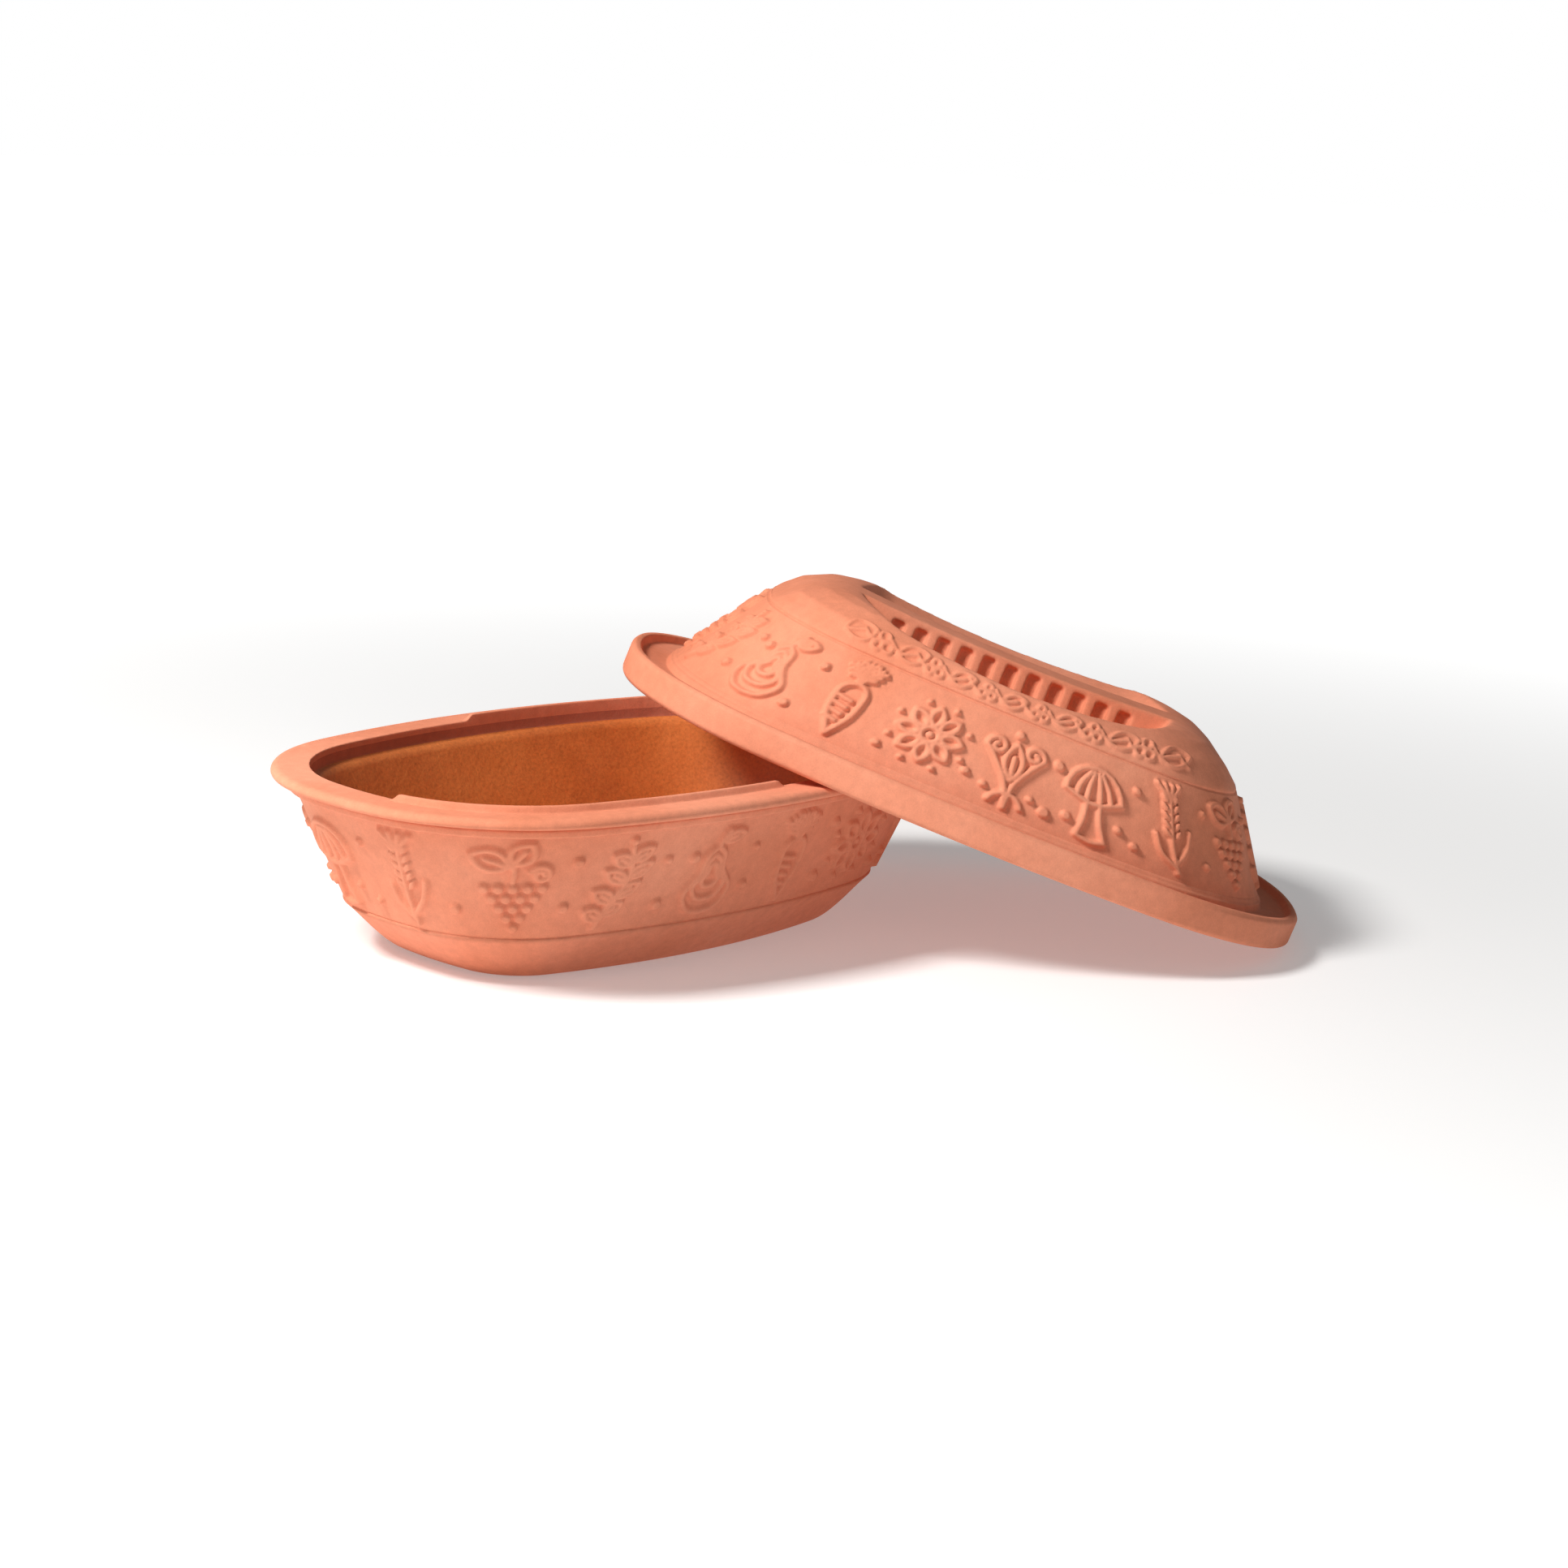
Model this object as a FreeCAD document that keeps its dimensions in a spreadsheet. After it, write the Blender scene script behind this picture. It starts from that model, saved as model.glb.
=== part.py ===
import FreeCAD, Part
import math
import os
import Sketcher

# Clay roaster: an oval-cornered dish and its lid, both pressed from red clay.
# The lid is taken off: it leans on the rim of the dish with its low end on the ground.
# The origin is the middle of the dish's foot, X runs along the dish, Z is up.

doc = FreeCAD.newDocument("clay_roaster")
sheet = doc.addObject("Spreadsheet::Sheet", "sizes")

# Driving sizes in millimetres and degrees
driving = (
    ("rim_length", 345), ("rim_width", 232), ("rim_corner", 94),
    ("side_seam", 76.5), ("end_seam", 6),
    ("dish_height", 86), ("dish_wall", 9.5), ("dish_floor", 9),
    ("nose_round", 3.2), ("nose_drop", 3.2), ("nose_under", 5.6), ("bead_inset", 8),
    ("bead_swell", 0.9), ("bead_tall", 5.2), ("dish_wall_inset", 11.7),
    ("wall_foot_height", 24.2), ("wall_foot_inset", 34.1),
    ("groove_deep", 0.9), ("groove_half", 0.8),
    ("foot_length", 211), ("foot_width", 112), ("foot_corner", 28),
    ("belly_bend", 0.46),
    ("collar_inset", 18), ("collar_deep", 8),
    ("catch_inset", 14.2), ("catch_slope", 2.2), ("catch_tall", 3),
    ("catch_side_end", 8), ("catch_end_start", 27), ("catch_ramp", 5),
    ("lid_band", 15.2), ("lid_edge_round", 2), ("lid_lip", 4.6), ("lid_channel_deep", 3.8),
    ("lid_overhang", 3), ("lid_mouth", 12), ("lid_mouth_round", 5), ("lid_wall", 9.5),
    ("plinth_out", 3), ("plinth_height", 14.6),
    ("lid_foot_height", 16.6), ("lid_foot_length", 305.3), ("lid_foot_width", 202), ("lid_foot_corner", 78.9),
    ("lid_line_height", 60), ("lid_line_length", 245.7),
    ("lid_line_width", 181.2), ("lid_line_corner", 61.9),
    ("hump_height", 79), ("hump_place", 84), ("hump_round", 45), ("saddle_height", 76),
    ("shoulder_rise", 17), ("shoulder_in", 27), ("shoulder_turn", 84),
    ("grip_inset", 21), ("grip_slope", 17), ("grip_floor", 52), ("grip_bow", 230),
    ("grip_length", 164), ("grip_end_round", 30),
    ("grip_hollow_half", 12), ("grip_hollow_length", 190),
    ("flute_pitch", 11.8), ("flute_count", 11), ("flute_wide", 6.6), ("flute_deep", 4),
    ("flute_low", 59), ("flute_high", 74.6),
    ("lid_ceiling", 43),
    ("lean_turn", -46.8), ("lean_x", 148.2), ("lean_y", -82.8), ("lean_gap", 0.3),
    ("relief_high", 1.5), ("relief_root", 1.3), ("relief_pitch", 41), ("dish_relief", 1.2), ("lid_relief", 1),
    ("grain_long", 9), ("grain_wide", 4), ("berry_round", 3.2), ("berry_sides", 8),
    ("overcut", 1),
)
for row, (alias, number) in enumerate(driving, 1):
    sheet.set("A%d" % row, alias)
    sheet.set("B%d" % row, str(number))
    sheet.setAlias("B%d" % row, alias)
doc.recompute()


def size(name):
    """A driving size as a number."""
    return float(sheet.get(name))


def value(formula):
    """The number that a formula of sheet sizes gives."""
    return float(sheet.evalExpression(formula.replace("sizes.", "")))


# Outlines: eight tangent arcs, seams at the same two slopes on every level

def rim_ring(inset, grow="0"):
    """Half length, half width and corner radius of the rim outline moved inward."""
    change = "- (%s) + (%s)" % (inset, grow)
    return tuple("%s %s" % (start, change)
                 for start in ("sizes.rim_length / 2", "sizes.rim_width / 2", "sizes.rim_corner"))


def lid_ring(inset):
    """The same for the lid's rim, which stands a little outside the dish's."""
    return rim_ring(inset, "sizes.lid_overhang")


def named_ring(name, inset="0"):
    """The same for an outline whose length, width and corner have sizes of their own."""
    return tuple("sizes.%s_%s - (%s)" % (name, part, inset)
                 for part in ("length / 2", "width / 2", "corner"))


def between(ring_a, ring_b, share):
    """An outline part of the way, or further, from one outline to another."""
    return tuple("(%s) * (1 - (%s)) + (%s) * (%s)" % (first, share, second, share)
                 for first, second in zip(ring_a, ring_b))


def bow_radii(ring):
    """Formulas for the radii of the side bow and the end bow that keep the seams' slopes."""
    side_sin, side_cos = "sin(sizes.side_seam * 1deg)", "cos(sizes.side_seam * 1deg)"
    end_sin, end_cos = "sin(sizes.end_seam * 1deg)", "cos(sizes.end_seam * 1deg)"
    length, width, corner = ("(%s)" % text for text in ring)
    rise = "(%s - %s * (%s - %s))" % (width, corner, side_sin, end_sin)
    run = "(%s - %s * (%s - %s))" % (length, corner, end_cos, side_cos)
    share = "((1 - %s) * (1 - %s) - %s * %s)" % (side_sin, end_cos, end_sin, side_cos)
    side = "(%s * (1 - %s) - %s * %s) / %s" % (rise, end_cos, end_sin, run, share)
    end = "((1 - %s) * %s - %s * %s) / %s" % (side_sin, run, side_cos, rise, share)
    return side, end


def base_plane(body, role):
    """One of a body's own origin planes."""
    return next(plane for plane in body.Origin.OriginFeatures if plane.Role == role)


def ring_sketch(body, name, height, ring):
    """A level outline, drawn and fully constrained, at a height above the body's own base."""
    sketch = body.newObject("Sketcher::SketchObject", name)
    sketch.AttachmentSupport = (base_plane(body, "XY_Plane"), "")
    sketch.MapMode = "FlatFace"
    sketch.setExpression("AttachmentOffset.Base.z", height)
    side_text, end_text = bow_radii(ring)
    half_length, half_width, corner = (value(text) for text in ring)
    side, end = value(side_text), value(end_text)
    seam_side, seam_end = math.radians(size("side_seam")), math.radians(size("end_seam"))
    middle_x = half_length - end + (end - corner) * math.cos(seam_end)
    middle_y = (end - corner) * math.sin(seam_end)
    half, whole = math.pi, 2 * math.pi
    arcs = (
        (half_length - end, 0, end, -seam_end, seam_end),
        (middle_x, middle_y, corner, seam_end, seam_side),
        (0, half_width - side, side, seam_side, half - seam_side),
        (-middle_x, middle_y, corner, half - seam_side, half - seam_end),
        (end - half_length, 0, end, half - seam_end, half + seam_end),
        (-middle_x, -middle_y, corner, half + seam_end, half + seam_side),
        (0, side - half_width, side, half + seam_side, whole - seam_side),
        (middle_x, -middle_y, corner, whole - seam_side, whole - seam_end),
    )
    for x, y, radius, start, stop in arcs:
        circle = Part.Circle(FreeCAD.Vector(x, y, 0), FreeCAD.Vector(0, 0, 1), radius)
        sketch.addGeometry(Part.ArcOfCircle(circle, start, stop), False)
    for arc in range(8):
        sketch.addConstraint(Sketcher.Constraint("Tangent", arc, 2, (arc + 1) % 8, 1))
    for arc in (0, 4):
        sketch.addConstraint(Sketcher.Constraint("PointOnObject", arc, 3, -1))
    for arc in (2, 6):
        sketch.addConstraint(Sketcher.Constraint("PointOnObject", arc, 3, -2))
    for first, second in ((1, 3), (1, 5), (1, 7), (0, 4), (2, 6)):
        sketch.addConstraint(Sketcher.Constraint("Equal", first, second))
    bound = (("Radius", (1,), corner, ring[2]),
             ("Radius", (2,), side, side_text),
             ("Radius", (0,), end, end_text),
             ("DistanceX", (-1, 1, 0, 3), half_length - end, "(%s) - (%s)" % (ring[0], end_text)),
             ("DistanceX", (4, 3, -1, 1), half_length - end, "(%s) - (%s)" % (ring[0], end_text)),
             ("DistanceY", (2, 3, -1, 1), side - half_width, "(%s) - (%s)" % (side_text, ring[1])),
             ("DistanceY", (-1, 1, 6, 3), side - half_width, "(%s) - (%s)" % (side_text, ring[1])))
    for kind, places, number, text in bound:
        index = sketch.addConstraint(Sketcher.Constraint(kind, *places, number))
        sketch.setExpression("Constraints[%d]" % index, text)
    return sketch


def loft(body, name, levels, cut=False, ruled=True):
    """Material, or a hollow, that runs through a stack of level outlines."""
    sketches = [ring_sketch(body, "%s_level_%d" % (name, number), height, ring)
                for number, (height, ring) in enumerate(levels)]
    feature = body.newObject("PartDesign::SubtractiveLoft" if cut else "PartDesign::AdditiveLoft", name)
    feature.Profile = sketches[0]
    feature.Sections = sketches[1:]
    feature.Ruled = ruled
    return feature


def belly(top_height, top_ring, low_height, low_ring, steps):
    """Levels of a belly that curves from a wall down into a flat, from low to high."""
    levels = []
    for step in range(steps + 1):
        turn = math.pi / 2 * (1 - step / steps)
        drop = math.sin(turn)
        inset = (1 - math.cos(turn)) ** size("belly_bend")
        height = "(%s) * %.6f + (%s) * %.6f" % (top_height, 1 - drop, low_height, drop)
        levels.append((height, between(top_ring, low_ring, "%.6f" % inset)))
    return levels


# A rounded edge in two flats: shares of its round inward, and of its drop, at three levels
edge_shares = ((1, 0), (1 / 3, 1 / 3), (0, 1))

# Dish

dish_body = doc.addObject("PartDesign::Body", "dish_body")
foot = named_ring("foot")
wall_foot = rim_ring("sizes.wall_foot_inset")
wall_top = rim_ring("sizes.dish_wall_inset")
bead_foot_height = "sizes.dish_height - sizes.nose_under - sizes.bead_tall"
bead_top_height = "sizes.dish_height - sizes.nose_under"
outer_belly = belly("sizes.wall_foot_height - sizes.groove_half", wall_foot, "0", foot, 4)
loft(dish_body, "dish_belly", outer_belly)
loft(dish_body, "dish_side", (
    ("sizes.wall_foot_height - sizes.groove_half", wall_foot),
    ("sizes.wall_foot_height", rim_ring("sizes.wall_foot_inset + sizes.groove_deep")),
    ("sizes.wall_foot_height + sizes.groove_half", wall_foot),
    (bead_foot_height, wall_top),
    ("%s + sizes.bead_tall / 2" % bead_foot_height, rim_ring("sizes.bead_inset", "sizes.bead_swell")),
    (bead_top_height, rim_ring("sizes.bead_inset")),
    ("sizes.dish_height - sizes.nose_drop - sizes.nose_round / 2", rim_ring("sizes.nose_round / 4")),
    *[("sizes.dish_height - sizes.nose_drop * %.6f" % down, rim_ring("sizes.nose_round * %.6f" % inward))
      for inward, down in reversed(edge_shares)],
))
inner_foot = rim_ring("sizes.wall_foot_inset + sizes.dish_wall")
inner_floor = named_ring("foot", "0")
hollow = belly("sizes.wall_foot_height", inner_foot, "sizes.dish_floor", inner_floor, 3)
hollow.append(("sizes.dish_height - sizes.collar_deep - sizes.overcut",
               rim_ring("sizes.dish_wall_inset + sizes.dish_wall")))
hollow.append(("sizes.dish_height - sizes.collar_deep", rim_ring("sizes.collar_inset")))
hollow.append(("sizes.dish_height + sizes.catch_tall", rim_ring("sizes.collar_inset")))
loft(dish_body, "dish_hollow", hollow, cut=True)

# Catches: low raised lips inside the rim, round two opposite corners, that keep the lid in place
catch_body = doc.addObject("PartDesign::Body", "catch_body")
loft(catch_body, "catch_ring", (
    ("sizes.dish_height - sizes.overcut", rim_ring("sizes.catch_inset")),
    ("sizes.dish_height", rim_ring("sizes.catch_inset")),
    ("sizes.dish_height + sizes.catch_tall", rim_ring("sizes.catch_inset + sizes.catch_slope")),
))
loft(catch_body, "catch_opening", (
    ("sizes.dish_height - sizes.overcut * 2", rim_ring("sizes.collar_inset")),
    ("sizes.dish_height + sizes.catch_tall + sizes.overcut", rim_ring("sizes.collar_inset")),
), cut=True)
catches = []
for number, turn in enumerate((0, 180)):
    window = doc.addObject("Part::Wedge", "catch_window_%d" % number)
    window.setExpression("Xmin", "-sizes.rim_length")
    window.setExpression("X2min", "-sizes.rim_length")
    window.setExpression("Ymin", "0")
    window.setExpression("Ymax", "sizes.catch_tall + sizes.overcut * 2")
    window.setExpression("Xmax", "sizes.catch_side_end + sizes.catch_ramp")
    window.setExpression("X2max", "sizes.catch_side_end")
    window.setExpression("Zmin", "sizes.catch_end_start - sizes.catch_ramp")
    window.setExpression("Z2min", "sizes.catch_end_start")
    window.setExpression("Zmax", "sizes.rim_length")
    window.setExpression("Z2max", "sizes.rim_length")
    upright = FreeCAD.Rotation(FreeCAD.Vector(1, 0, 0), 90)
    round_about = FreeCAD.Rotation(FreeCAD.Vector(0, 0, 1), turn)
    window.Placement = FreeCAD.Placement(FreeCAD.Vector(0, 0, 0), round_about * upright)
    window.setExpression("Placement.Base.z", "sizes.dish_height - sizes.overcut")
    catch = doc.addObject("Part::Common", "catch_%d" % number)
    catch.Base = catch_body
    catch.Tool = window
    catches.append(catch)

dish = doc.addObject("Part::MultiFuse", "dish")
dish.Shapes = [dish_body] + catches
dish.Label = "dish"

# Lid, modelled level, with the flat of its rim at height 0

lid_body = doc.addObject("PartDesign::Body", "lid_body")
lid_foot = named_ring("lid_foot")
lid_line = named_ring("lid_line")
loft(lid_body, "lid_rim", (
    *[("sizes.lid_edge_round * %.6f" % up, lid_ring("sizes.lid_edge_round * %.6f" % inward))
      for inward, up in edge_shares],
    *[("sizes.lid_band - sizes.lid_edge_round * %.6f" % down,
       lid_ring("sizes.lid_edge_round * %.6f" % inward)) for inward, down in reversed(edge_shares)],
))
loft(lid_body, "lid_channel", (
    ("sizes.lid_band - sizes.lid_channel_deep", lid_ring("sizes.lid_lip + sizes.overcut")),
    ("sizes.lid_band + sizes.overcut", lid_ring("sizes.lid_lip")),
), cut=True)


def lid_wall_ring(height, inset="0"):
    """The lid's outline at a height, on the slope that its side keeps from the plinth up."""
    share = "((%s) - sizes.lid_foot_height) / (sizes.lid_line_height - sizes.lid_foot_height)" % height
    return tuple("%s - (%s)" % (text, inset) for text in between(lid_foot, lid_line, share))


def shoulder_levels(steps):
    """Levels that round the side over towards the crest."""
    levels = []
    for step in range(steps + 1):
        turn = math.radians(size("shoulder_turn")) * step / steps
        start = "(sizes.hump_height + sizes.overcut - sizes.shoulder_rise)"
        height = "%s + sizes.shoulder_rise * %.6f" % (start, math.sin(turn))
        levels.append((height, lid_wall_ring(height, "sizes.shoulder_in * %.6f" % (1 - math.cos(turn)))))
    return levels


loft(lid_body, "lid_plinth", (
    ("sizes.lid_channel_deep", named_ring("lid_foot", "-sizes.plinth_out")),
    ("sizes.plinth_height", named_ring("lid_foot", "-sizes.plinth_out")),
    ("sizes.lid_foot_height", lid_foot),
))
loft(lid_body, "lid_side", (
    ("sizes.lid_foot_height", lid_foot),
    ("sizes.lid_line_height - sizes.groove_half", lid_line),
    ("sizes.lid_line_height", named_ring("lid_line", "sizes.groove_deep")),
    ("sizes.lid_line_height + sizes.groove_half", lid_line),
    *shoulder_levels(3),
))


# Crest of the lid: two humps with a slight saddle between them, seen from the side
crest = lid_body.newObject("Sketcher::SketchObject", "crest_outline")
crest.AttachmentSupport = (base_plane(lid_body, "XZ_Plane"), "")
crest.MapMode = "FlatFace"
lean_back = math.atan2((size("lid_foot_length") - size("lid_line_length")) / 2,
                       size("lid_line_height") - size("lid_foot_height"))
hump_x, hump_z, hump = size("hump_place"), size("hump_height") - size("hump_round"), size("hump_round")
saddle_text = ("(sizes.hump_place ^ 2 + (sizes.saddle_height - sizes.hump_height + sizes.hump_round) ^ 2"
               " - sizes.hump_round ^ 2) / (2 * (sizes.hump_height - sizes.saddle_height))")
saddle = value(saddle_text)
saddle_z = size("saddle_height") + saddle
meet = math.atan2(saddle_z - hump_z, hump_x)
end_x = hump_x + hump * math.cos(lean_back)
end_z = hump_z + hump * math.sin(lean_back)
far, high = size("rim_length"), size("hump_height") + size("lid_band")
z_axis = FreeCAD.Vector(0, 0, 1)


def crest_arc(x, y, radius, start, stop):
    """One arc of the crest's side view."""
    circle = Part.Circle(FreeCAD.Vector(x, y, 0), z_axis, radius)
    crest.addGeometry(Part.ArcOfCircle(circle, start, stop), False)


crest_arc(hump_x, hump_z, hump, lean_back, math.pi - meet)
crest_arc(0, saddle_z, saddle, math.pi + meet, 2 * math.pi - meet)
crest_arc(-hump_x, hump_z, hump, meet, math.pi - lean_back)
corners = [(-end_x, end_z), (-far, end_z), (-far, high), (far, high), (far, end_z), (end_x, end_z)]
for first, second in zip(corners, corners[1:]):
    crest.addGeometry(Part.LineSegment(FreeCAD.Vector(*first, 0), FreeCAD.Vector(*second, 0)), False)
crest.addConstraint(Sketcher.Constraint("Tangent", 0, 2, 1, 2))
crest.addConstraint(Sketcher.Constraint("Tangent", 1, 1, 2, 1))
for first, second in ((2, 3), (3, 4), (4, 5), (5, 6), (6, 7), (7, 0)):
    crest.addConstraint(Sketcher.Constraint("Coincident", first, 2, second, 1))
for line in (3, 5, 7):
    crest.addConstraint(Sketcher.Constraint("Horizontal", line))
for line in (4, 6):
    crest.addConstraint(Sketcher.Constraint("Vertical", line))
crest.addConstraint(Sketcher.Constraint("PointOnObject", 1, 3, -2))
crest.addConstraint(Sketcher.Constraint("Equal", 0, 2))
lean_text = ("atan2((sizes.lid_foot_length - sizes.lid_line_length) / 2;"
             " sizes.lid_line_height - sizes.lid_foot_height)")
for kind, places, number, text in (
        ("Radius", (0,), hump, "sizes.hump_round"),
        ("DistanceX", (-1, 1, 0, 3), hump_x, "sizes.hump_place"),
        ("DistanceX", (2, 3, -1, 1), hump_x, "sizes.hump_place"),
        ("DistanceY", (-1, 1, 0, 3), hump_z, "sizes.hump_height - sizes.hump_round"),
        ("Radius", (1,), saddle, saddle_text),
        ("DistanceY", (0, 3, 0, 1), hump * math.sin(lean_back), "sizes.hump_round * sin(%s)" % lean_text),
        ("DistanceY", (2, 3, 2, 2), hump * math.sin(lean_back), "sizes.hump_round * sin(%s)" % lean_text),
        ("DistanceX", (-1, 1, 6, 1), far, "sizes.rim_length"),
        ("DistanceX", (4, 1, -1, 1), far, "sizes.rim_length"),
        ("DistanceY", (-1, 1, 5, 1), high, "sizes.hump_height + sizes.lid_band")):
    index = crest.addConstraint(Sketcher.Constraint(kind, *places, number))
    crest.setExpression("Constraints[%d]" % index, text)
crest_cut = lid_body.newObject("PartDesign::Pocket", "crest_cut")
crest_cut.Profile = crest
crest_cut.Midplane = True
crest_cut.setExpression("Length", "sizes.rim_width")
doc.recompute()


# Finger grips: a trough in each long side of the crest, with upright flutes in the wall of the handle

def grip_sketch(name, side):
    """A sketch on the sloping handle wall of one side, its origin at the foot of that wall."""
    sketch = lid_body.newObject("Sketcher::SketchObject", name)
    sketch.AttachmentSupport = (base_plane(lid_body, "XZ_Plane"), "")
    sketch.MapMode = "FlatFace"
    turned = FreeCAD.Rotation(FreeCAD.Vector(1, 0, 0), -side * size("grip_slope"))
    sketch.AttachmentOffset = FreeCAD.Placement(FreeCAD.Vector(0, 0, 0), turned)
    sketch.setExpression("AttachmentOffset.Rotation.Angle", "%d * sizes.grip_slope" % -side)
    sketch.setExpression("AttachmentOffset.Base.y", "sizes.grip_floor")
    sketch.setExpression("AttachmentOffset.Base.z", "%d * sizes.grip_inset" % side)
    return sketch


def cut_grip(side, word):
    """The trough of one side and the row of flutes in its inner wall."""
    trough = grip_sketch("trough_outline_" + word, side)
    half, bow, corner, top = (value(text) for text in (
        "sizes.grip_length / 2", "sizes.grip_bow", "sizes.grip_end_round", "sizes.hump_height"))
    corner_z = bow - math.sqrt((bow - corner) ** 2 - (half - corner) ** 2)
    lean = math.atan2(bow - corner_z, half - corner)
    for x, y, radius, start, stop in (
            (0, bow, bow, math.pi + lean, 2 * math.pi - lean),
            (half - corner, corner_z, corner, 2 * math.pi - lean, 2 * math.pi),
            (corner - half, corner_z, corner, math.pi, math.pi + lean)):
        circle = Part.Circle(FreeCAD.Vector(x, y, 0), z_axis, radius)
        trough.addGeometry(Part.ArcOfCircle(circle, start, stop), False)
    rim = ((half, corner_z), (half, top), (-half, top), (-half, corner_z))
    for first, second in zip(rim, rim[1:]):
        trough.addGeometry(Part.LineSegment(FreeCAD.Vector(*first, 0), FreeCAD.Vector(*second, 0)), False)
    for kind, places in (
            ("Tangent", (0, 2, 1, 1)), ("Tangent", (0, 1, 2, 2)), ("Tangent", (1, 2, 3, 1)),
            ("Tangent", (2, 1, 5, 2)), ("Coincident", (3, 2, 4, 1)), ("Coincident", (4, 2, 5, 1)),
            ("Horizontal", (4,)), ("Vertical", (3,)), ("Vertical", (5,)),
            ("PointOnObject", (0, 3, -2)), ("Equal", (1, 2))):
        trough.addConstraint(Sketcher.Constraint(kind, *places))
    for kind, places, number, text in (
            ("Radius", (0,), bow, "sizes.grip_bow"),
            ("Radius", (1,), corner, "sizes.grip_end_round"),
            ("DistanceY", (-1, 1, 0, 3), bow, "sizes.grip_bow"),
            ("DistanceX", (4, 2, 4, 1), 2 * half, "sizes.grip_length"),
            ("DistanceY", (-1, 1, 4, 1), top, "sizes.hump_height")):
        index = trough.addConstraint(Sketcher.Constraint(kind, *places, number))
        trough.setExpression("Constraints[%d]" % index, text)
    cut = lid_body.newObject("PartDesign::Pocket", "trough_" + word)
    cut.Profile = trough
    cut.Reversed = side > 0
    cut.setExpression("Length", "sizes.rim_width")
    flute = grip_sketch("flute_outline_" + word, side)
    wide = size("flute_wide") / 2
    low, tall = size("flute_low") - size("grip_floor"), size("flute_high") - size("grip_floor")
    first_x = -size("flute_pitch") * (size("flute_count") - 1) / 2
    slot = ((first_x - wide, low), (first_x + wide, low), (first_x + wide, tall), (first_x - wide, tall))
    for number in range(4):
        ends = FreeCAD.Vector(*slot[number], 0), FreeCAD.Vector(*slot[(number + 1) % 4], 0)
        flute.addGeometry(Part.LineSegment(*ends), False)
    for number in range(4):
        flute.addConstraint(Sketcher.Constraint("Coincident", number, 2, (number + 1) % 4, 1))
        flute.addConstraint(Sketcher.Constraint("Vertical" if number % 2 else "Horizontal", number))
    for kind, places, number, text in (
            ("DistanceX", (0, 1, 0, 2), 2 * wide, "sizes.flute_wide"),
            ("DistanceX", (0, 1, -1, 1), wide - first_x,
             "(sizes.flute_pitch * (sizes.flute_count - 1) + sizes.flute_wide) / 2"),
            ("DistanceY", (-1, 1, 0, 1), low, "sizes.flute_low - sizes.grip_floor"),
            ("DistanceY", (-1, 1, 2, 1), tall, "sizes.flute_high - sizes.grip_floor")):
        index = flute.addConstraint(Sketcher.Constraint(kind, *places, number))
        flute.setExpression("Constraints[%d]" % index, text)
    single = lid_body.newObject("PartDesign::Pocket", "flute_" + word)
    single.Profile = flute
    single.Reversed = side < 0
    single.setExpression("Length", "sizes.flute_deep")
    row = lid_body.newObject("PartDesign::LinearPattern", "flutes_" + word)
    row.Originals = [single]
    row.Direction = (flute, ["H_Axis"])
    row.setExpression("Length", "sizes.flute_pitch * (sizes.flute_count - 1)")
    row.setExpression("Occurrences", "sizes.flute_count")
    lid_body.Tip = row


cut_grip(1, "front")
cut_grip(-1, "back")

# Hollow of the lid
mouth = [("sizes.lid_mouth_round * %.6f" % up,
          lid_ring("sizes.lid_mouth - sizes.lid_mouth_round * %.6f" % inward)) for inward, up in edge_shares]
ceiling = "sizes.lid_ceiling"
loft(lid_body, "lid_hollow", (
    ("-sizes.overcut", mouth[0][1]),
    *mouth,
    ("sizes.lid_foot_height", lid_wall_ring("sizes.lid_foot_height", "sizes.lid_wall")),
    ("%s - sizes.lid_wall" % ceiling, lid_wall_ring("%s - sizes.lid_wall" % ceiling, "sizes.lid_wall")),
    (ceiling, lid_wall_ring(ceiling, "sizes.lid_wall * 2")),
), cut=True)
handle_hollow = lid_body.newObject("Sketcher::SketchObject", "handle_hollow_outline")
handle_hollow.AttachmentSupport = (base_plane(lid_body, "XZ_Plane"), "")
handle_hollow.MapMode = "FlatFace"
hollow_half, hollow_high = size("grip_hollow_length") / 2, size("saddle_height") - size("lid_wall")
hollow_low = size("lid_ceiling") - size("overcut")
box_corners = ((-hollow_half, hollow_low), (hollow_half, hollow_low),
               (hollow_half, hollow_high), (-hollow_half, hollow_high))
for number in range(4):
    ends = FreeCAD.Vector(*box_corners[number], 0), FreeCAD.Vector(*box_corners[(number + 1) % 4], 0)
    handle_hollow.addGeometry(Part.LineSegment(*ends), False)
for number in range(4):
    handle_hollow.addConstraint(Sketcher.Constraint("Coincident", number, 2, (number + 1) % 4, 1))
    handle_hollow.addConstraint(Sketcher.Constraint("Vertical" if number % 2 else "Horizontal", number))
for kind, places, number, text in (
        ("DistanceX", (0, 1, -1, 1), hollow_half, "sizes.grip_hollow_length / 2"),
        ("DistanceX", (-1, 1, 0, 2), hollow_half, "sizes.grip_hollow_length / 2"),
        ("DistanceY", (-1, 1, 0, 1), hollow_low, "sizes.lid_ceiling - sizes.overcut"),
        ("DistanceY", (-1, 1, 2, 1), hollow_high, "sizes.saddle_height - sizes.lid_wall")):
    index = handle_hollow.addConstraint(Sketcher.Constraint(kind, *places, number))
    handle_hollow.setExpression("Constraints[%d]" % index, text)
handle_pocket = lid_body.newObject("PartDesign::Pocket", "handle_hollow")
handle_pocket.Profile = handle_hollow
handle_pocket.Midplane = True
handle_pocket.setExpression("Length", "sizes.grip_hollow_half * 2")


# Outlines as numbers

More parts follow.
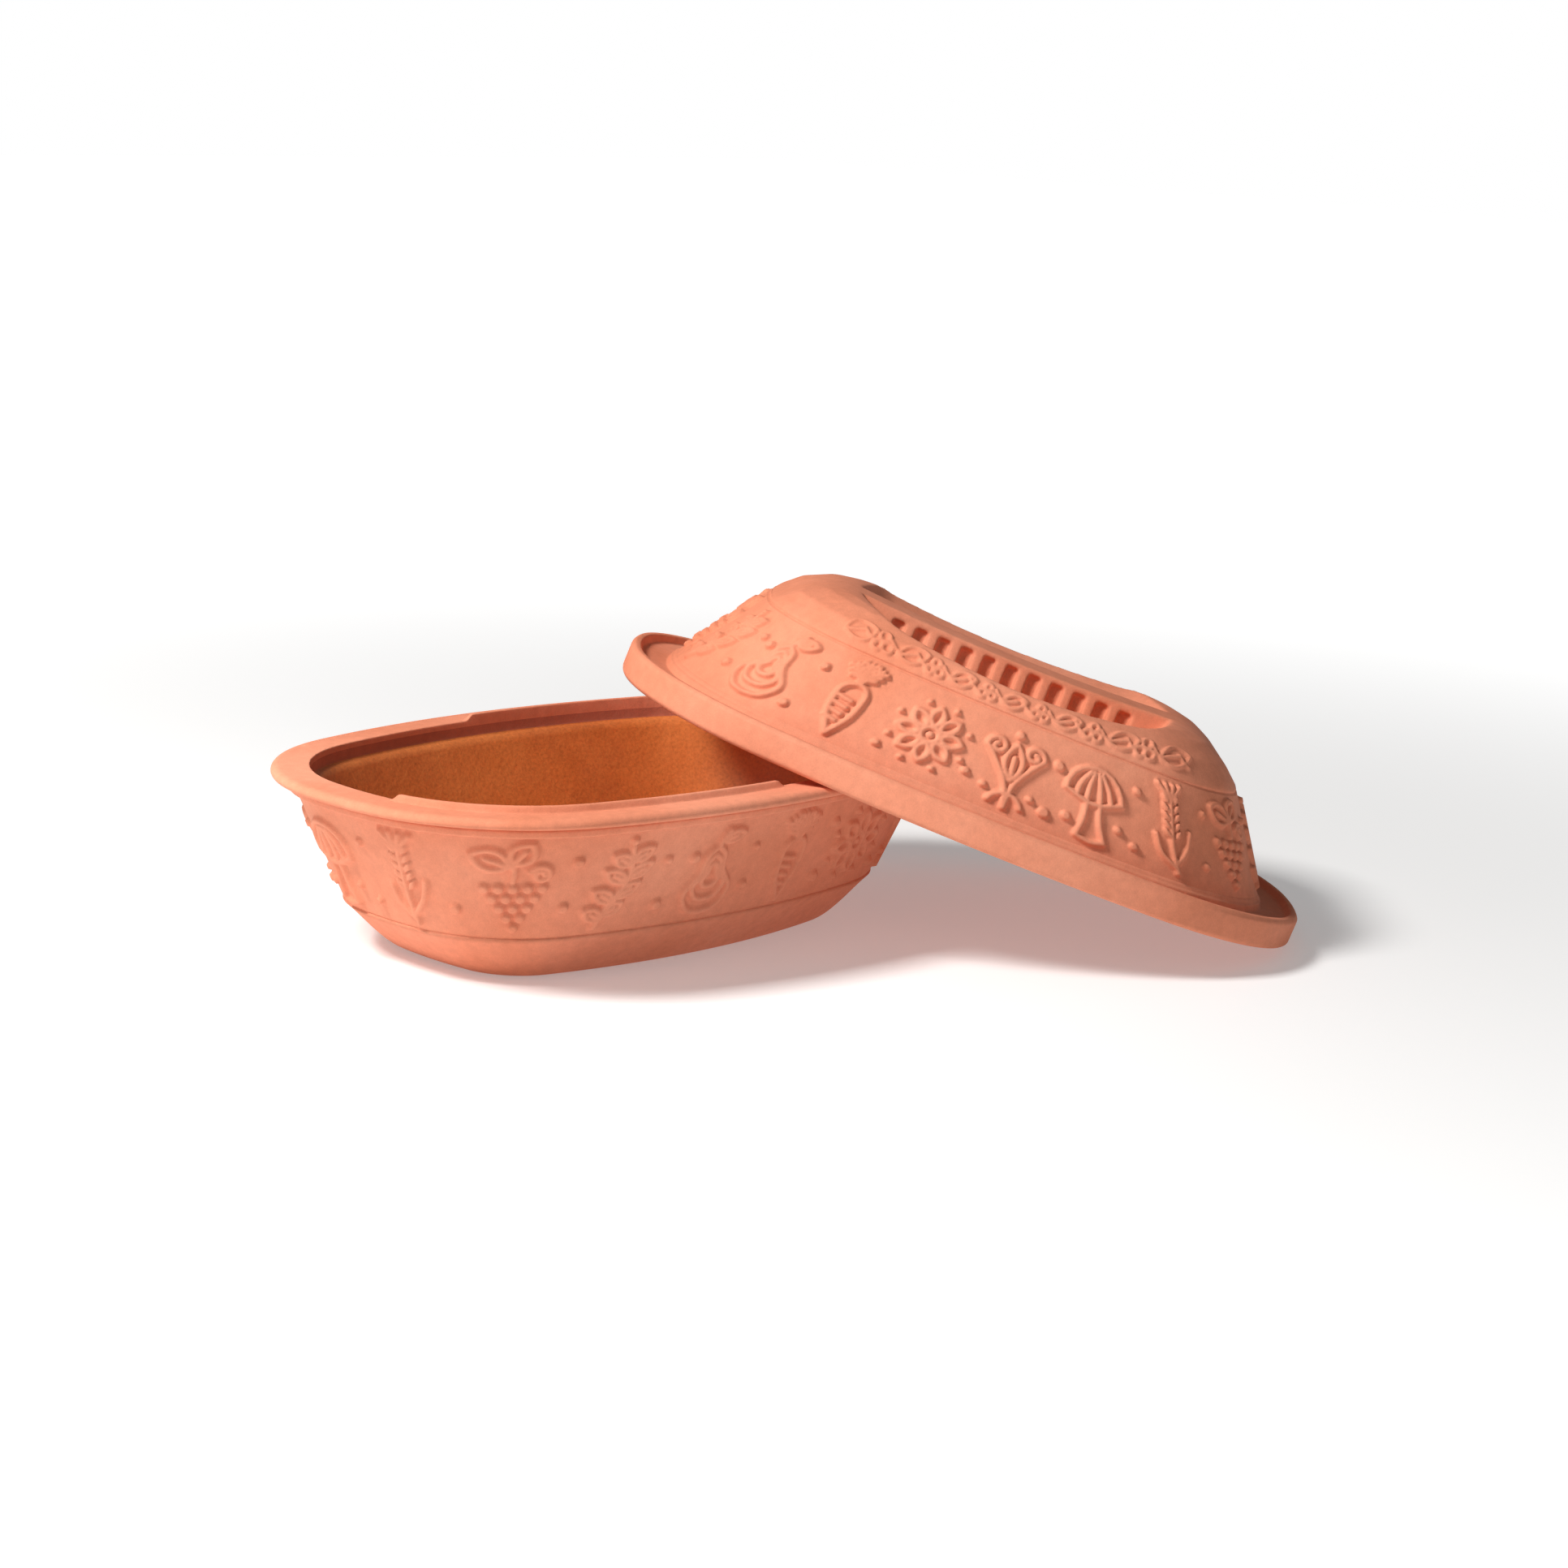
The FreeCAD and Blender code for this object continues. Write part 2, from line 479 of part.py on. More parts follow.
def arc_centres(ring):
    """Numbers of an outline: centres and radii of its end, corner and side arcs in the first quarter."""
    side, end = (value(text) for text in bow_radii(ring))
    half_length, half_width, corner = (value(text) for text in ring)
    seam = math.radians(size("end_seam"))
    end_x = half_length - end
    corner_x = end_x + (end - corner) * math.cos(seam)
    return (end_x, 0, end), (corner_x, (end - corner) * math.sin(seam), corner), (0, half_width - side, side)


def outline_point(arcs, turn):
    """The point of an outline whose outward normal has the given direction."""
    seam_side, seam_end = math.radians(size("side_seam")), math.radians(size("end_seam"))
    flat = math.atan2(abs(math.sin(turn)), abs(math.cos(turn)))
    x, y, radius = arcs[0] if flat < seam_end else arcs[1] if flat < seam_side else arcs[2]
    x, y = x + radius * math.cos(flat), y + radius * math.sin(flat)
    return FreeCAD.Vector(math.copysign(x, math.cos(turn)), math.copysign(y, math.sin(turn)), 0)


def outside_by(arcs, point):
    """How far a point stands outside an outline, seen from above; inside it is negative."""
    seam_side, seam_end = math.radians(size("side_seam")), math.radians(size("end_seam"))
    x, y = abs(point.x), abs(point.y)
    turn = math.atan2(y - arcs[1][1], x - arcs[1][0])
    if x > arcs[1][0] and turn < seam_end or x > arcs[0][0] and math.atan2(y, x - arcs[0][0]) < seam_end:
        centre = arcs[0]
    else:
        centre = arcs[2] if turn > seam_side or math.atan2(y - arcs[2][1], x) > seam_side else arcs[1]
    return math.hypot(x - centre[0], y - centre[1]) - centre[2]


turns = [2 * math.pi * number / 360 for number in range(360)]

# Relief: plain raised motifs side by side all round both walls, each mark a grain or a berry
# A mark: kind, place across and up from the middle of its motif, its turn, its length and width in grains
motifs = (
    (("grain", 0, -10, 90, 2, 0.5), ("grain", 0, 16, 90, 1, 1),
     ("grain", -5, 10, 125, 1, 1), ("grain", 5, 10, 55, 1, 1),
     ("grain", -5, 1, 125, 1, 1), ("grain", 5, 1, 55, 1, 1)),
    (("berry", -7, 4, 0, 1, 1), ("berry", 0, 5, 0, 1, 1), ("berry", 7, 4, 0, 1, 1),
     ("berry", -3.5, -2.5, 0, 1, 1), ("berry", 3.5, -2.5, 0, 1, 1), ("berry", 0, -10, 0, 1, 1),
     ("grain", 5, 15, 25, 1.4, 1.5)),
    (("grain", 0, 0, 90, 3.6, 0.5), ("grain", -8, 10, 145, 1.2, 1.3), ("grain", 8, 3, 35, 1.2, 1.3),
     ("grain", -8, -5, 145, 1.2, 1.3), ("grain", 8, -12, 35, 1.2, 1.3)),
    (("berry", 0, -7, 0, 2.9, 1), ("berry", 0, 6.5, 0, 1.3, 1), ("grain", 6, 15, 30, 1.3, 1.2)),
    (("grain", 0, -6, 90, 2.6, 1.7), ("grain", 0, 15, 90, 1.1, 0.7),
     ("grain", -6, 14, 125, 1.1, 0.7), ("grain", 6, 14, 55, 1.1, 0.7)),
    (("berry", 0, 0, 0, 1.3, 1), ("grain", 10, 0, 0, 1, 1.1), ("grain", -10, 0, 0, 1, 1.1),
     ("grain", 5, 9, 60, 1, 1.1), ("grain", -5, 9, 120, 1, 1.1),
     ("grain", 5, -9, 120, 1, 1.1), ("grain", -5, -9, 60, 1, 1.1)),
    (("berry", -6.5, 7, 0, 1.6, 1), ("berry", 6.5, -7, 0, 1.6, 1),
     ("grain", 5, 9, 60, 1.5, 0.7), ("grain", -5, -9, 60, 1.5, 0.7)),
    (("grain", 0, -8, 90, 1.7, 1.4), ("grain", 0, 6, 0, 2.9, 2), ("berry", 0, 14.5, 0, 0.9, 1)),
)


def relief_wall(low_height, low_ring, high_height, high_ring):
    """A wall between two outlines, and how far round it each direction lies."""
    arcs = arc_centres(low_ring), arc_centres(high_ring)
    marks = [(outline_point(arcs[0], turn) + outline_point(arcs[1], turn)) * 0.5 for turn in turns]
    run = [0.0]
    for first, second in zip(marks, marks[1:] + marks[:1]):
        run.append(run[-1] + first.distanceToPoint(second))
    return arcs, (value(low_height), value(high_height)), run


def spot(wall, along, up, angle):
    """The place of a mark: so far round a wall, so far up from its middle, turned, its own Z standing out."""
    (low_arcs, high_arcs), (low, high), run = wall
    along %= run[-1]
    step = max(number for number, reach in enumerate(run[:-1]) if reach <= along)
    turn = turns[step] + turns[1] * (along - run[step]) / (run[step + 1] - run[step])
    base = outline_point(low_arcs, turn) + FreeCAD.Vector(0, 0, low)
    top = outline_point(high_arcs, turn) + FreeCAD.Vector(0, 0, high)
    rise = (top - base).normalize()
    right = FreeCAD.Vector(-math.sin(turn), math.cos(turn), 0)
    outward = right.cross(rise).normalize()
    frame = FreeCAD.Rotation(right, outward.cross(right), outward, "ZXY")
    return FreeCAD.Placement((base + top) * 0.5 + rise * up, frame * FreeCAD.Rotation(z_axis, angle))


def relief(word, wall):
    """All marks of the motifs round a wall."""
    marks = []
    scale = size(word + "_relief")
    count = int(wall[2][-1] / (size("relief_pitch") * scale))
    tilted = FreeCAD.Rotation(FreeCAD.Vector(1, 0, 0), 90)
    for number in range(count):
        middle = wall[2][-1] * (number + 0.5) / count
        for kind, across, up, angle, long, wide in motifs[number % len(motifs)]:
            place = spot(wall, middle + across * scale, up * scale, angle)
            name = "%s_%s_%d" % (word, kind, len(marks))
            if kind == "berry":
                mark = doc.addObject("Part::Prism", name)
                mark.setExpression("Polygon", "sizes.berry_sides")
                mark.setExpression("Circumradius", "sizes.berry_round * sizes.%s_relief * %s" % (word, long))
                mark.setExpression("Height", "sizes.relief_high + sizes.relief_root")
                own = FreeCAD.Placement(z_axis * -size("relief_root"), FreeCAD.Rotation())
            else:
                mark = doc.addObject("Part::Wedge", name)
                for edge, text in (("X", "sizes.grain_long * sizes.%s_relief * %s" % (word, long)),
                                   ("Z", "sizes.grain_wide * sizes.%s_relief * %s" % (word, wide))):
                    mark.setExpression(edge + "min", "-%s / 2" % text)
                    mark.setExpression(edge + "max", "%s / 2" % text)
                    mark.setExpression(edge + "2min", "-%s / 4" % text)
                    mark.setExpression(edge + "2max", "%s / 4" % text)
                mark.setExpression("Ymin", "-sizes.relief_root")
                mark.setExpression("Ymax", "sizes.relief_high")
                own = FreeCAD.Placement(FreeCAD.Vector(), tilted)
            mark.Placement = place * own
            marks.append(mark)
    return marks


dish.Shapes = dish.Shapes + relief("dish", relief_wall("sizes.wall_foot_height", wall_foot,
                                                       bead_foot_height, wall_top))
lid = doc.addObject("Part::MultiFuse", "lid")
lid.Shapes = [lid_body] + relief("lid", relief_wall("sizes.lid_foot_height", lid_foot,
                                                    "sizes.lid_line_height", lid_line))
lid.Label = "lid"


# Lean of the lid: its place and turn on the ground are chosen, and where it touches decides the rest
dish_edge = [(arc_centres(rim_ring("sizes.nose_round * %.6f" % inward)), size("nose_drop") * down)
             for inward, down in edge_shares]
lid_edge = [(arc_centres(lid_ring("sizes.lid_edge_round * %.6f" % inward)), size("lid_edge_round") * up)
            for inward, up in edge_shares]
seats = [(arc_centres(ring), value(height)) for height, ring in mouth]


def lean_place(lift, tip, roll):
    """The lid's placement for a height of its middle and its two tilts."""
    turn = FreeCAD.Rotation(FreeCAD.Vector(0, 0, 1), size("lean_turn"))
    tilt = FreeCAD.Rotation(FreeCAD.Vector(0, 1, 0), tip) * FreeCAD.Rotation(FreeCAD.Vector(1, 0, 0), roll)
    return FreeCAD.Placement(FreeCAD.Vector(size("lean_x"), size("lean_y"), lift), turn * tilt)


def lean_gaps(lift, tip, roll):
    """Gaps of the leaning lid: low edge to the ground, then seat to the dish's side and to its end."""
    place = lean_place(lift, tip, roll)
    back = place.inverse()
    ground = min(place.multVec(outline_point(arcs, turn) + FreeCAD.Vector(0, 0, up)).z
                 for arcs, up in lid_edge for turn in turns)
    crossings = {-1: [], 1: []}
    for arcs, down in dish_edge:
        level = FreeCAD.Vector(0, 0, size("dish_height") - down)

        def seen(turn):
            return back.multVec(outline_point(arcs, turn) + level)

        for seat_arcs, seat_height in seats:
            marks = [outside_by(seat_arcs, seen(turn)) for turn in turns]
            for number, turn in enumerate(turns):
                if marks[number - 1] * marks[number] < 0:
                    low, high = turn - turns[1], turn
                    for _ in range(30):
                        middle = (low + high) / 2
                        if outside_by(seat_arcs, seen(middle)) * marks[number] > 0:
                            high = middle
                        else:
                            low = middle
                    touch = seen(high)
                    crossings[1 if touch.y > 0 else -1].append(seat_height - touch.z)
    return ground, min(crossings[-1]) - size("lean_gap"), min(crossings[1]) - size("lean_gap")


# The three gaps are brought to nothing by repeated straight-line steps
lean = [60.0, 20.0, 0.0]
nudge = 0.01
for _ in range(8):
    now = lean_gaps(*lean)
    nudged = [lean_gaps(*[number + (nudge if place == axis else 0) for place, number in enumerate(lean)])
              for axis in range(3)]
    rows = [[(nudged[axis][gap] - now[gap]) / nudge for axis in range(3)] for gap in range(3)]
    matrix = FreeCAD.Matrix(*rows[0], 0, *rows[1], 0, *rows[2], 0, 0, 0, 0, 1)
    step = matrix.inverse().multVec(FreeCAD.Vector(*now))
    lean = [number - change for number, change in zip(lean, step)]
lid.Placement = lean_place(*lean)
doc.recompute()

# Nothing is written unless every feature and both pieces are sound
for item in doc.Objects:
    if "Invalid" in item.State or "Error" in item.State:
        raise RuntimeError("feature %s failed: %s" % (item.Name, item.State))
for item in (dish, lid):
    if item.Shape.isNull() or not item.Shape.isValid() or len(item.Shape.Solids) != 1:
        raise RuntimeError("piece %s is not one sound solid" % item.Label)
    print(item.Label, "volume in cubic centimetres", round(item.Shape.Volume / 1000, 1))
print("lean of the lid: height, tip, roll", [round(number, 3) for number in lean])
os.makedirs("parts", exist_ok=True)
for item in (dish, lid):
    item.Shape.exportStep("parts/%s.step" % item.Label)
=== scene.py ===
# %% [markdown]
# # A clay roaster, pressed from red clay
# A clay roaster is two fired pieces: an oval dish, glazed inside, and a tall lid that sits on its rim. Here
# the lid is taken off and leans on the dish. The solids come from the CAD frame, and this lesson gives them
# their looks: finely divided surfaces, the pressed relief, bare clay, amber glaze, camera and light.
#
# The frame comes first.

# %% Load the frame
import bmesh
import bpy
import math
import random
import numpy as np
from mathutils import Matrix, Vector


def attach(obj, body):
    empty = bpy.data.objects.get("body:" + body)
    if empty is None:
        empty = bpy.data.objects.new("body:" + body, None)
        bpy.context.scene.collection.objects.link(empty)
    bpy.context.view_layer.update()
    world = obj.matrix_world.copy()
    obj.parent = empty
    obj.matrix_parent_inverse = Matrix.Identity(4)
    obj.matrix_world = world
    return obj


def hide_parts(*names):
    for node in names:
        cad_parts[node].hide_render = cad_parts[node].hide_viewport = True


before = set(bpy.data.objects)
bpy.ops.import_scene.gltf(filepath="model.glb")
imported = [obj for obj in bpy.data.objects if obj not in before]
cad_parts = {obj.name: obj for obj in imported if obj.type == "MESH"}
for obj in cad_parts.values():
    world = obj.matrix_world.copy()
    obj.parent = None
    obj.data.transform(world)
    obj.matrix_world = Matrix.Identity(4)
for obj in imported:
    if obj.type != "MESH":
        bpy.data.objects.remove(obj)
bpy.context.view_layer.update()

MM = 0.001

# %% [markdown]
# ## The camera
# A likeness starts with the eye in the right place. The photo was taken from a little above the rim, from
# the dish's near corner, with a long lens: parallel edges hardly draw together. Three turns and a distance
# say where the camera is, and two shifts say which point of the scene lies in the middle of the frame.

# %% Camera at the photo's angle
def photo_camera(turn=0.7883, dip=0.2097, roll=-0.0428, distance=1720.0, focal_pixels=4404.9,
                 aside=-82.48, rise=-68.79, frame_pixels=1932):
    """A camera that looks along a turn and a dip, with its picture rolled a little."""
    ahead = Vector((math.sin(turn) * math.cos(dip), math.cos(turn) * math.cos(dip), -math.sin(dip)))
    level_right = Vector((math.cos(turn), -math.sin(turn), 0))
    level_up = level_right.cross(ahead)
    right = math.cos(roll) * level_right - math.sin(roll) * level_up
    up = math.sin(roll) * level_right + math.cos(roll) * level_up
    place = (-aside * right - rise * up - distance * ahead) * MM
    data = bpy.data.cameras.new("photo_camera")
    data.sensor_fit = "HORIZONTAL"
    data.sensor_width = 36
    data.lens = focal_pixels * data.sensor_width / frame_pixels
    data.clip_start = 0.05
    data.clip_end = 20
    camera = bpy.data.objects.new("photo_camera", data)
    camera.matrix_world = Matrix((
        (right.x, up.x, -ahead.x, place.x),
        (right.y, up.y, -ahead.y, place.y),
        (right.z, up.z, -ahead.z, place.z),
        (0, 0, 0, 1)))
    bpy.context.collection.objects.link(camera)
    bpy.context.scene.camera = camera
    return camera


camera = photo_camera()
print("camera at (m):", [round(v, 3) for v in camera.location], "lens (mm):", round(camera.data.lens, 1))

# %% [markdown]
# ## The outline that both pieces share
# Seen from above, every level of the dish and of the lid is the same kind of shape: a gently bowed side, a
# bowed end and a round corner between them, eight arcs in all. The arcs always meet where the edge faces
# the same two ways, so a point can slide from level to level and stay on its own arc. That makes clean
# grids.

# %% One level outline
SIDE_SEAM, END_SEAM = math.radians(76.5), math.radians(6)


def outline(half_length, half_width, corner, share):
    """Points of one level outline, one for each share (0 to 8) of the way round its eight arcs."""
    rise = half_width - corner * (math.sin(SIDE_SEAM) - math.sin(END_SEAM))
    run = half_length - corner * (math.cos(END_SEAM) - math.cos(SIDE_SEAM))
    det = (1 - math.sin(SIDE_SEAM)) * (1 - math.cos(END_SEAM)) - math.sin(END_SEAM) * math.cos(SIDE_SEAM)
    side = (rise * (1 - math.cos(END_SEAM)) - math.sin(END_SEAM) * run) / det
    end = ((1 - math.sin(SIDE_SEAM)) * run - math.cos(SIDE_SEAM) * rise) / det
    corner_x = half_length - end + (end - corner) * math.cos(END_SEAM)
    corner_y = (end - corner) * math.sin(END_SEAM)
    arcs = (
        (half_length - end, 0, end, -END_SEAM, END_SEAM),
        (corner_x, corner_y, corner, END_SEAM, SIDE_SEAM),
        (0, half_width - side, side, SIDE_SEAM, math.pi - SIDE_SEAM),
        (-corner_x, corner_y, corner, math.pi - SIDE_SEAM, math.pi - END_SEAM),
        (end - half_length, 0, end, math.pi - END_SEAM, math.pi + END_SEAM),
        (-corner_x, -corner_y, corner, math.pi + END_SEAM, math.pi + SIDE_SEAM),
        (0, side - half_width, side, math.pi + SIDE_SEAM, 2 * math.pi - SIDE_SEAM),
        (corner_x, -corner_y, corner, 2 * math.pi - SIDE_SEAM, 2 * math.pi - END_SEAM),
    )
    table = np.array(arcs)
    arc = np.minimum(np.floor(share).astype(int), 7)
    x, y, radius, start, stop = table[arc].T
    turn = start + (stop - start) * (share - arc)
    return np.stack((x + radius * np.cos(turn), y + radius * np.sin(turn)), axis=1)


def even_shares(half_length, half_width, corner, count):
    """Shares of the way round that stand at even steps along one outline, and its length in mm."""
    fine = np.linspace(0, 8, 8001)
    points = outline(half_length, half_width, corner, fine)
    along = np.concatenate(([0], np.cumsum(np.linalg.norm(np.diff(points, axis=0), axis=1))))
    return np.interp(np.arange(count) / count * along[-1], along, fine), along[-1]


RIM = np.array((172.5, 116.0, 94.0))
rim_shares, rim_round = even_shares(*RIM, 720)
print("the rim is", round(rim_round), "mm round")

# %% [markdown]
# ## From outlines to a skin
# A potter's mould is described by its section. So is this skin: a list of levels, each a height and an
# outline, and one row of points for each. Between two levels the code adds rows, straight or along a smooth
# curve.

# %% Skins from stacked levels
def ring(level):
    """A level's numbers as one array: height, half length, half width, corner radius."""
    return np.array(level, dtype=float)


def rows_between(levels, step):
    """Levels with straight rows added, so that no row is taller than the step."""
    rows = [ring(levels[0])]
    for low, high in zip(levels, levels[1:]):
        low, high = ring(low), ring(high)
        rise, ahead, aside = np.abs(high - low)[:3]
        gap = max(math.hypot(rise, ahead), math.hypot(rise, aside))
        count = max(1, math.ceil(gap / step))
        rows += [low + (high - low) * number / count for number in range(1, count + 1)]
    return rows


def skin_points(rows, shares):
    """An array (row, column, xyz) in mm of the points of a skin."""
    points = np.zeros((len(rows), len(shares), 3))
    for number, row in enumerate(rows):
        points[number, :, :2] = outline(*row[1:], shares)
        points[number, :, 2] = row[0]
    return points


print("skins run round in", len(rim_shares), "columns")

# %% [markdown]
# ## From a skin to an object
# The points of a skin stand in rows and columns, so its faces are easy to list: each point makes a square
# with the next one in its row and the two above them. An end that has to be shut gets a fan round a point
# in its middle. Every skin rides on the frame's root, because nothing here moves.

# %% A mesh object from points
def skin_object(name, points, materials, slot_of_row=None, close=()):
    """A mesh from an array of points that runs round in its second index; close names the ends to cap."""
    rows, columns = points.shape[:2]
    grid = np.arange(rows * columns).reshape(rows, columns)
    right = np.roll(grid, -1, axis=1)
    quads = np.stack((grid[:-1], right[:-1], right[1:], grid[1:]), axis=2).reshape(-1, 4)
    mesh = bpy.data.meshes.new(name)
    faces = quads.tolist()
    vertices = (points.reshape(-1, 3) * MM).tolist()
    for end in close:
        row = grid[0] if end == "first" else grid[-1]
        middle = points[0 if end == "first" else -1].mean(axis=0) * MM
        vertices.append(middle.tolist())
        hub = len(vertices) - 1
        around = np.roll(row, -1)
        fan = (around, row) if end == "first" else (row, around)
        faces += [[int(a), int(b), hub] for a, b in zip(*fan)]
    mesh.from_pydata(vertices, [], faces)
    for material in materials:
        mesh.materials.append(material)
    if slot_of_row is not None:
        slots = np.zeros(len(faces), dtype=np.int32)
        slots[:len(quads)] = np.repeat(slot_of_row[:-1], columns)
        slots[len(quads):] = slot_of_row[-1]
        mesh.polygons.foreach_set("material_index", slots)
    mesh.polygons.foreach_set("use_smooth", np.ones(len(faces), dtype=bool))
    mesh.update()
    skin = bpy.data.objects.new(name, mesh)
    bpy.context.collection.objects.link(skin)
    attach(skin, "root")
    print(name, "has", sum(len(face) - 2 for face in faces), "triangles")
    return skin


print("two rows of a skin have", 2 * len(rim_shares), "triangles between them")

# %% [markdown]
# ## Small helpers for materials
# All colour here is made by rules and none by pictures. Four helpers are enough: a noise, a ramp that turns
# it into colours, a mix of two colours, and a chain of bumps for what is too fine for the mesh.

# %% Material helpers
def noise(nodes, scale, detail, rough=0.5, place=(0, 0, 0)):
    """A noise texture on object coordinates, in metres."""
    where = nodes.new("ShaderNodeTexCoord")
    shift = nodes.new("ShaderNodeMapping")
    shift.inputs["Location"].default_value = place
    cloud = nodes.new("ShaderNodeTexNoise")
    cloud.inputs["Scale"].default_value = scale
    cloud.inputs["Detail"].default_value = detail
    cloud.inputs["Roughness"].default_value = rough
    links = cloud.id_data.links
    links.new(where.outputs["Object"], shift.inputs["Vector"])
    links.new(shift.outputs["Vector"], cloud.inputs["Vector"])
    return cloud.outputs["Fac"]


def ramp(nodes, source, stops):
    """A colour ramp over a value, with (place, colour) stops."""
    band = nodes.new("ShaderNodeValToRGB")
    elements = band.color_ramp.elements
    while len(elements) < len(stops):
        elements.new(0.5)
    for element, (place, colour) in zip(elements, stops):
        element.position = place
        element.color = (*colour, 1)
    band.id_data.links.new(source, band.inputs["Fac"])
    return band.outputs["Color"]


def mixed(nodes, first, second, share, kind="MIX"):
    """Two colours mixed; the share is a number or a value from another node."""
    mix = nodes.new("ShaderNodeMix")
    mix.data_type = "RGBA"
    mix.blend_type = kind
    links = mix.id_data.links
    for socket, colour in ((mix.inputs[6], first), (mix.inputs[7], second)):
        if isinstance(colour, tuple):
            socket.default_value = (*colour, 1)
        else:
            links.new(colour, socket)
    if isinstance(share, (int, float)):
        mix.inputs[0].default_value = share
    else:
        links.new(share, mix.inputs[0])
    return mix.outputs[2]


def bumps(nodes, layers):
    """Bump nodes in a chain, one for each (height source, depth in metres)."""
    normal = None
    for source, depth in layers:
        bump = nodes.new("ShaderNodeBump")
        bump.inputs["Strength"].default_value = 1
        bump.inputs["Distance"].default_value = depth
        bump.id_data.links.new(source, bump.inputs["Height"])
        if normal is not None:
            bump.id_data.links.new(normal, bump.inputs["Normal"])
        normal = bump.outputs["Normal"]
    return normal


print("helpers:", ", ".join(made.__name__ for made in (noise, ramp, mixed, bumps)))

# %% [markdown]
# ## Fired red clay
# Unglazed earthenware is never one colour. The fire leaves broad warm and pale clouds, the clay itself has
# fine dark and light grains, and pressing leaves faint pits. Noise textures of very different scale give
# those: clouds of a hand's width, mottling of a few millimetres, and grain too fine to count. The surface
# is dry, so it hardly shines. The clay inside the rim, where the glaze ends, is a little darker.

# %% Clay material
def clay_material(name, pale, middle, dark):
    """Bare fired clay in three tones."""
    material = bpy.data.materials.new(name)
    material.use_nodes = True
    nodes, links = material.node_tree.nodes, material.node_tree.links
    shader = nodes["Principled BSDF"]
    clouds = noise(nodes, 9, 3, 0.55, (0.3, 0.1, 0.7))
    broad = ramp(nodes, clouds, ((0.3, dark), (0.5, middle), (0.7, pale)))
    mottle = ramp(nodes, noise(nodes, 210, 4, 0.6), ((0.3, (0.86, 0.84, 0.83)), (0.7, (1.06, 1.05, 1.05))))
    grain = ramp(nodes, noise(nodes, 1500, 2, 0.7), ((0.25, (0.9, 0.88, 0.87)), (0.75, (1.05, 1.06, 1.06))))
    colour = mixed(nodes, mixed(nodes, broad, mottle, 0.6, "MULTIPLY"), grain, 0.8, "MULTIPLY")
    links.new(colour, shader.inputs["Base Color"])
    rough = ramp(nodes, noise(nodes, 120, 3), ((0.3, (0.78, 0.78, 0.78)), (0.7, (0.92, 0.92, 0.92))))
    links.new(rough, shader.inputs["Roughness"])
    shader.inputs["Specular IOR Level"].default_value = 0.25
    normal = bumps(nodes, ((noise(nodes, 1400, 3, 0.6), 0.00012), (noise(nodes, 160, 3, 0.5), 0.00025)))
    links.new(normal, shader.inputs["Normal"])
    return material


red_clay = clay_material("red_clay", (0.84, 0.335, 0.205), (0.78, 0.28, 0.163), (0.70, 0.23, 0.122))
bare_inside = clay_material("bare_inside", (0.60, 0.22, 0.14), (0.52, 0.18, 0.11), (0.43, 0.14, 0.085))
print("clays:", red_clay.name, bare_inside.name)

# %% [markdown]
# ## Amber glaze
# The inside of the dish has a thin transparent glaze, so that food doesn't stick. Over red clay it looks
# amber to brown, darker where it pooled, and it has small bubbles and a soft shine. The colour clouds are
# finer than the clay's, and a coat layer gives the wet look without turning the whole into a mirror.

# %% Glaze material
def glaze_material(name):
    """Amber glaze over red clay."""
    material = bpy.data.materials.new(name)
    material.use_nodes = True
    nodes, links = material.node_tree.nodes, material.node_tree.links
    shader = nodes["Principled BSDF"]
    pools = ramp(nodes, noise(nodes, 14, 4, 0.6, (0.2, 0.5, 0.1)),
                 ((0.3, (0.46, 0.115, 0.026)), (0.5, (0.60, 0.165, 0.038)), (0.72, (0.68, 0.21, 0.052))))
    specks = ramp(nodes, noise(nodes, 650, 3, 0.65), ((0.3, (0.74, 0.7, 0.66)), (0.62, (1.08, 1.08, 1.06))))
    links.new(mixed(nodes, pools, specks, 0.75, "MULTIPLY"), shader.inputs["Base Color"])
    rough = ramp(nodes, noise(nodes, 60, 3), ((0.3, (0.42, 0.42, 0.42)), (0.7, (0.56, 0.56, 0.56))))
    links.new(rough, shader.inputs["Roughness"])
    shader.inputs["Specular IOR Level"].default_value = 0.4
    shader.inputs["Coat Weight"].default_value = 0.25
    shader.inputs["Coat Roughness"].default_value = 0.3
    links.new(bumps(nodes, ((noise(nodes, 420, 2, 0.5), 0.0002),)), shader.inputs["Normal"])
    return material


amber_glaze = glaze_material("amber_glaze")
print("glaze:", amber_glaze.name)

# %% [markdown]
# ## Softened corners
# Pressed clay has no sharp corners: a mould leaves a small round everywhere, and drying pulls it softer
# still. The section of each piece is written with plain corners, and this helper rounds every one of them a
# little.

# %% Rounding a section
def softened(levels, radius, steps=3):
    """Levels with each corner replaced by a small curve that starts a radius away from it."""
    levels = [ring(level) for level in levels]
    soft = [levels[0]]
    for before, corner, after in zip(levels, levels[1:], levels[2:]):
        to_before, to_after = before - corner, after - corner
        reach_before, reach_after = np.linalg.norm(to_before[:3]), np.linalg.norm(to_after[:3])
        start = corner + to_before * min(radius / reach_before, 0.45)
        stop = corner + to_after * min(radius / reach_after, 0.45)
        for number in range(steps + 1):
            share = number / steps
            soft.append((1 - share) ** 2 * start + 2 * share * (1 - share) * corner + share ** 2 * stop)
    soft.append(levels[-1])
    return soft


def level(height, shape, inset=0.0):
    """A level at a height, its outline moved inward by an inset."""
    return (height, *(np.asarray(shape) - inset))


print("a corner becomes", len(softened([level(0, RIM), level(5, RIM), level(5, RIM, 5)], 1)) - 2, "rows")

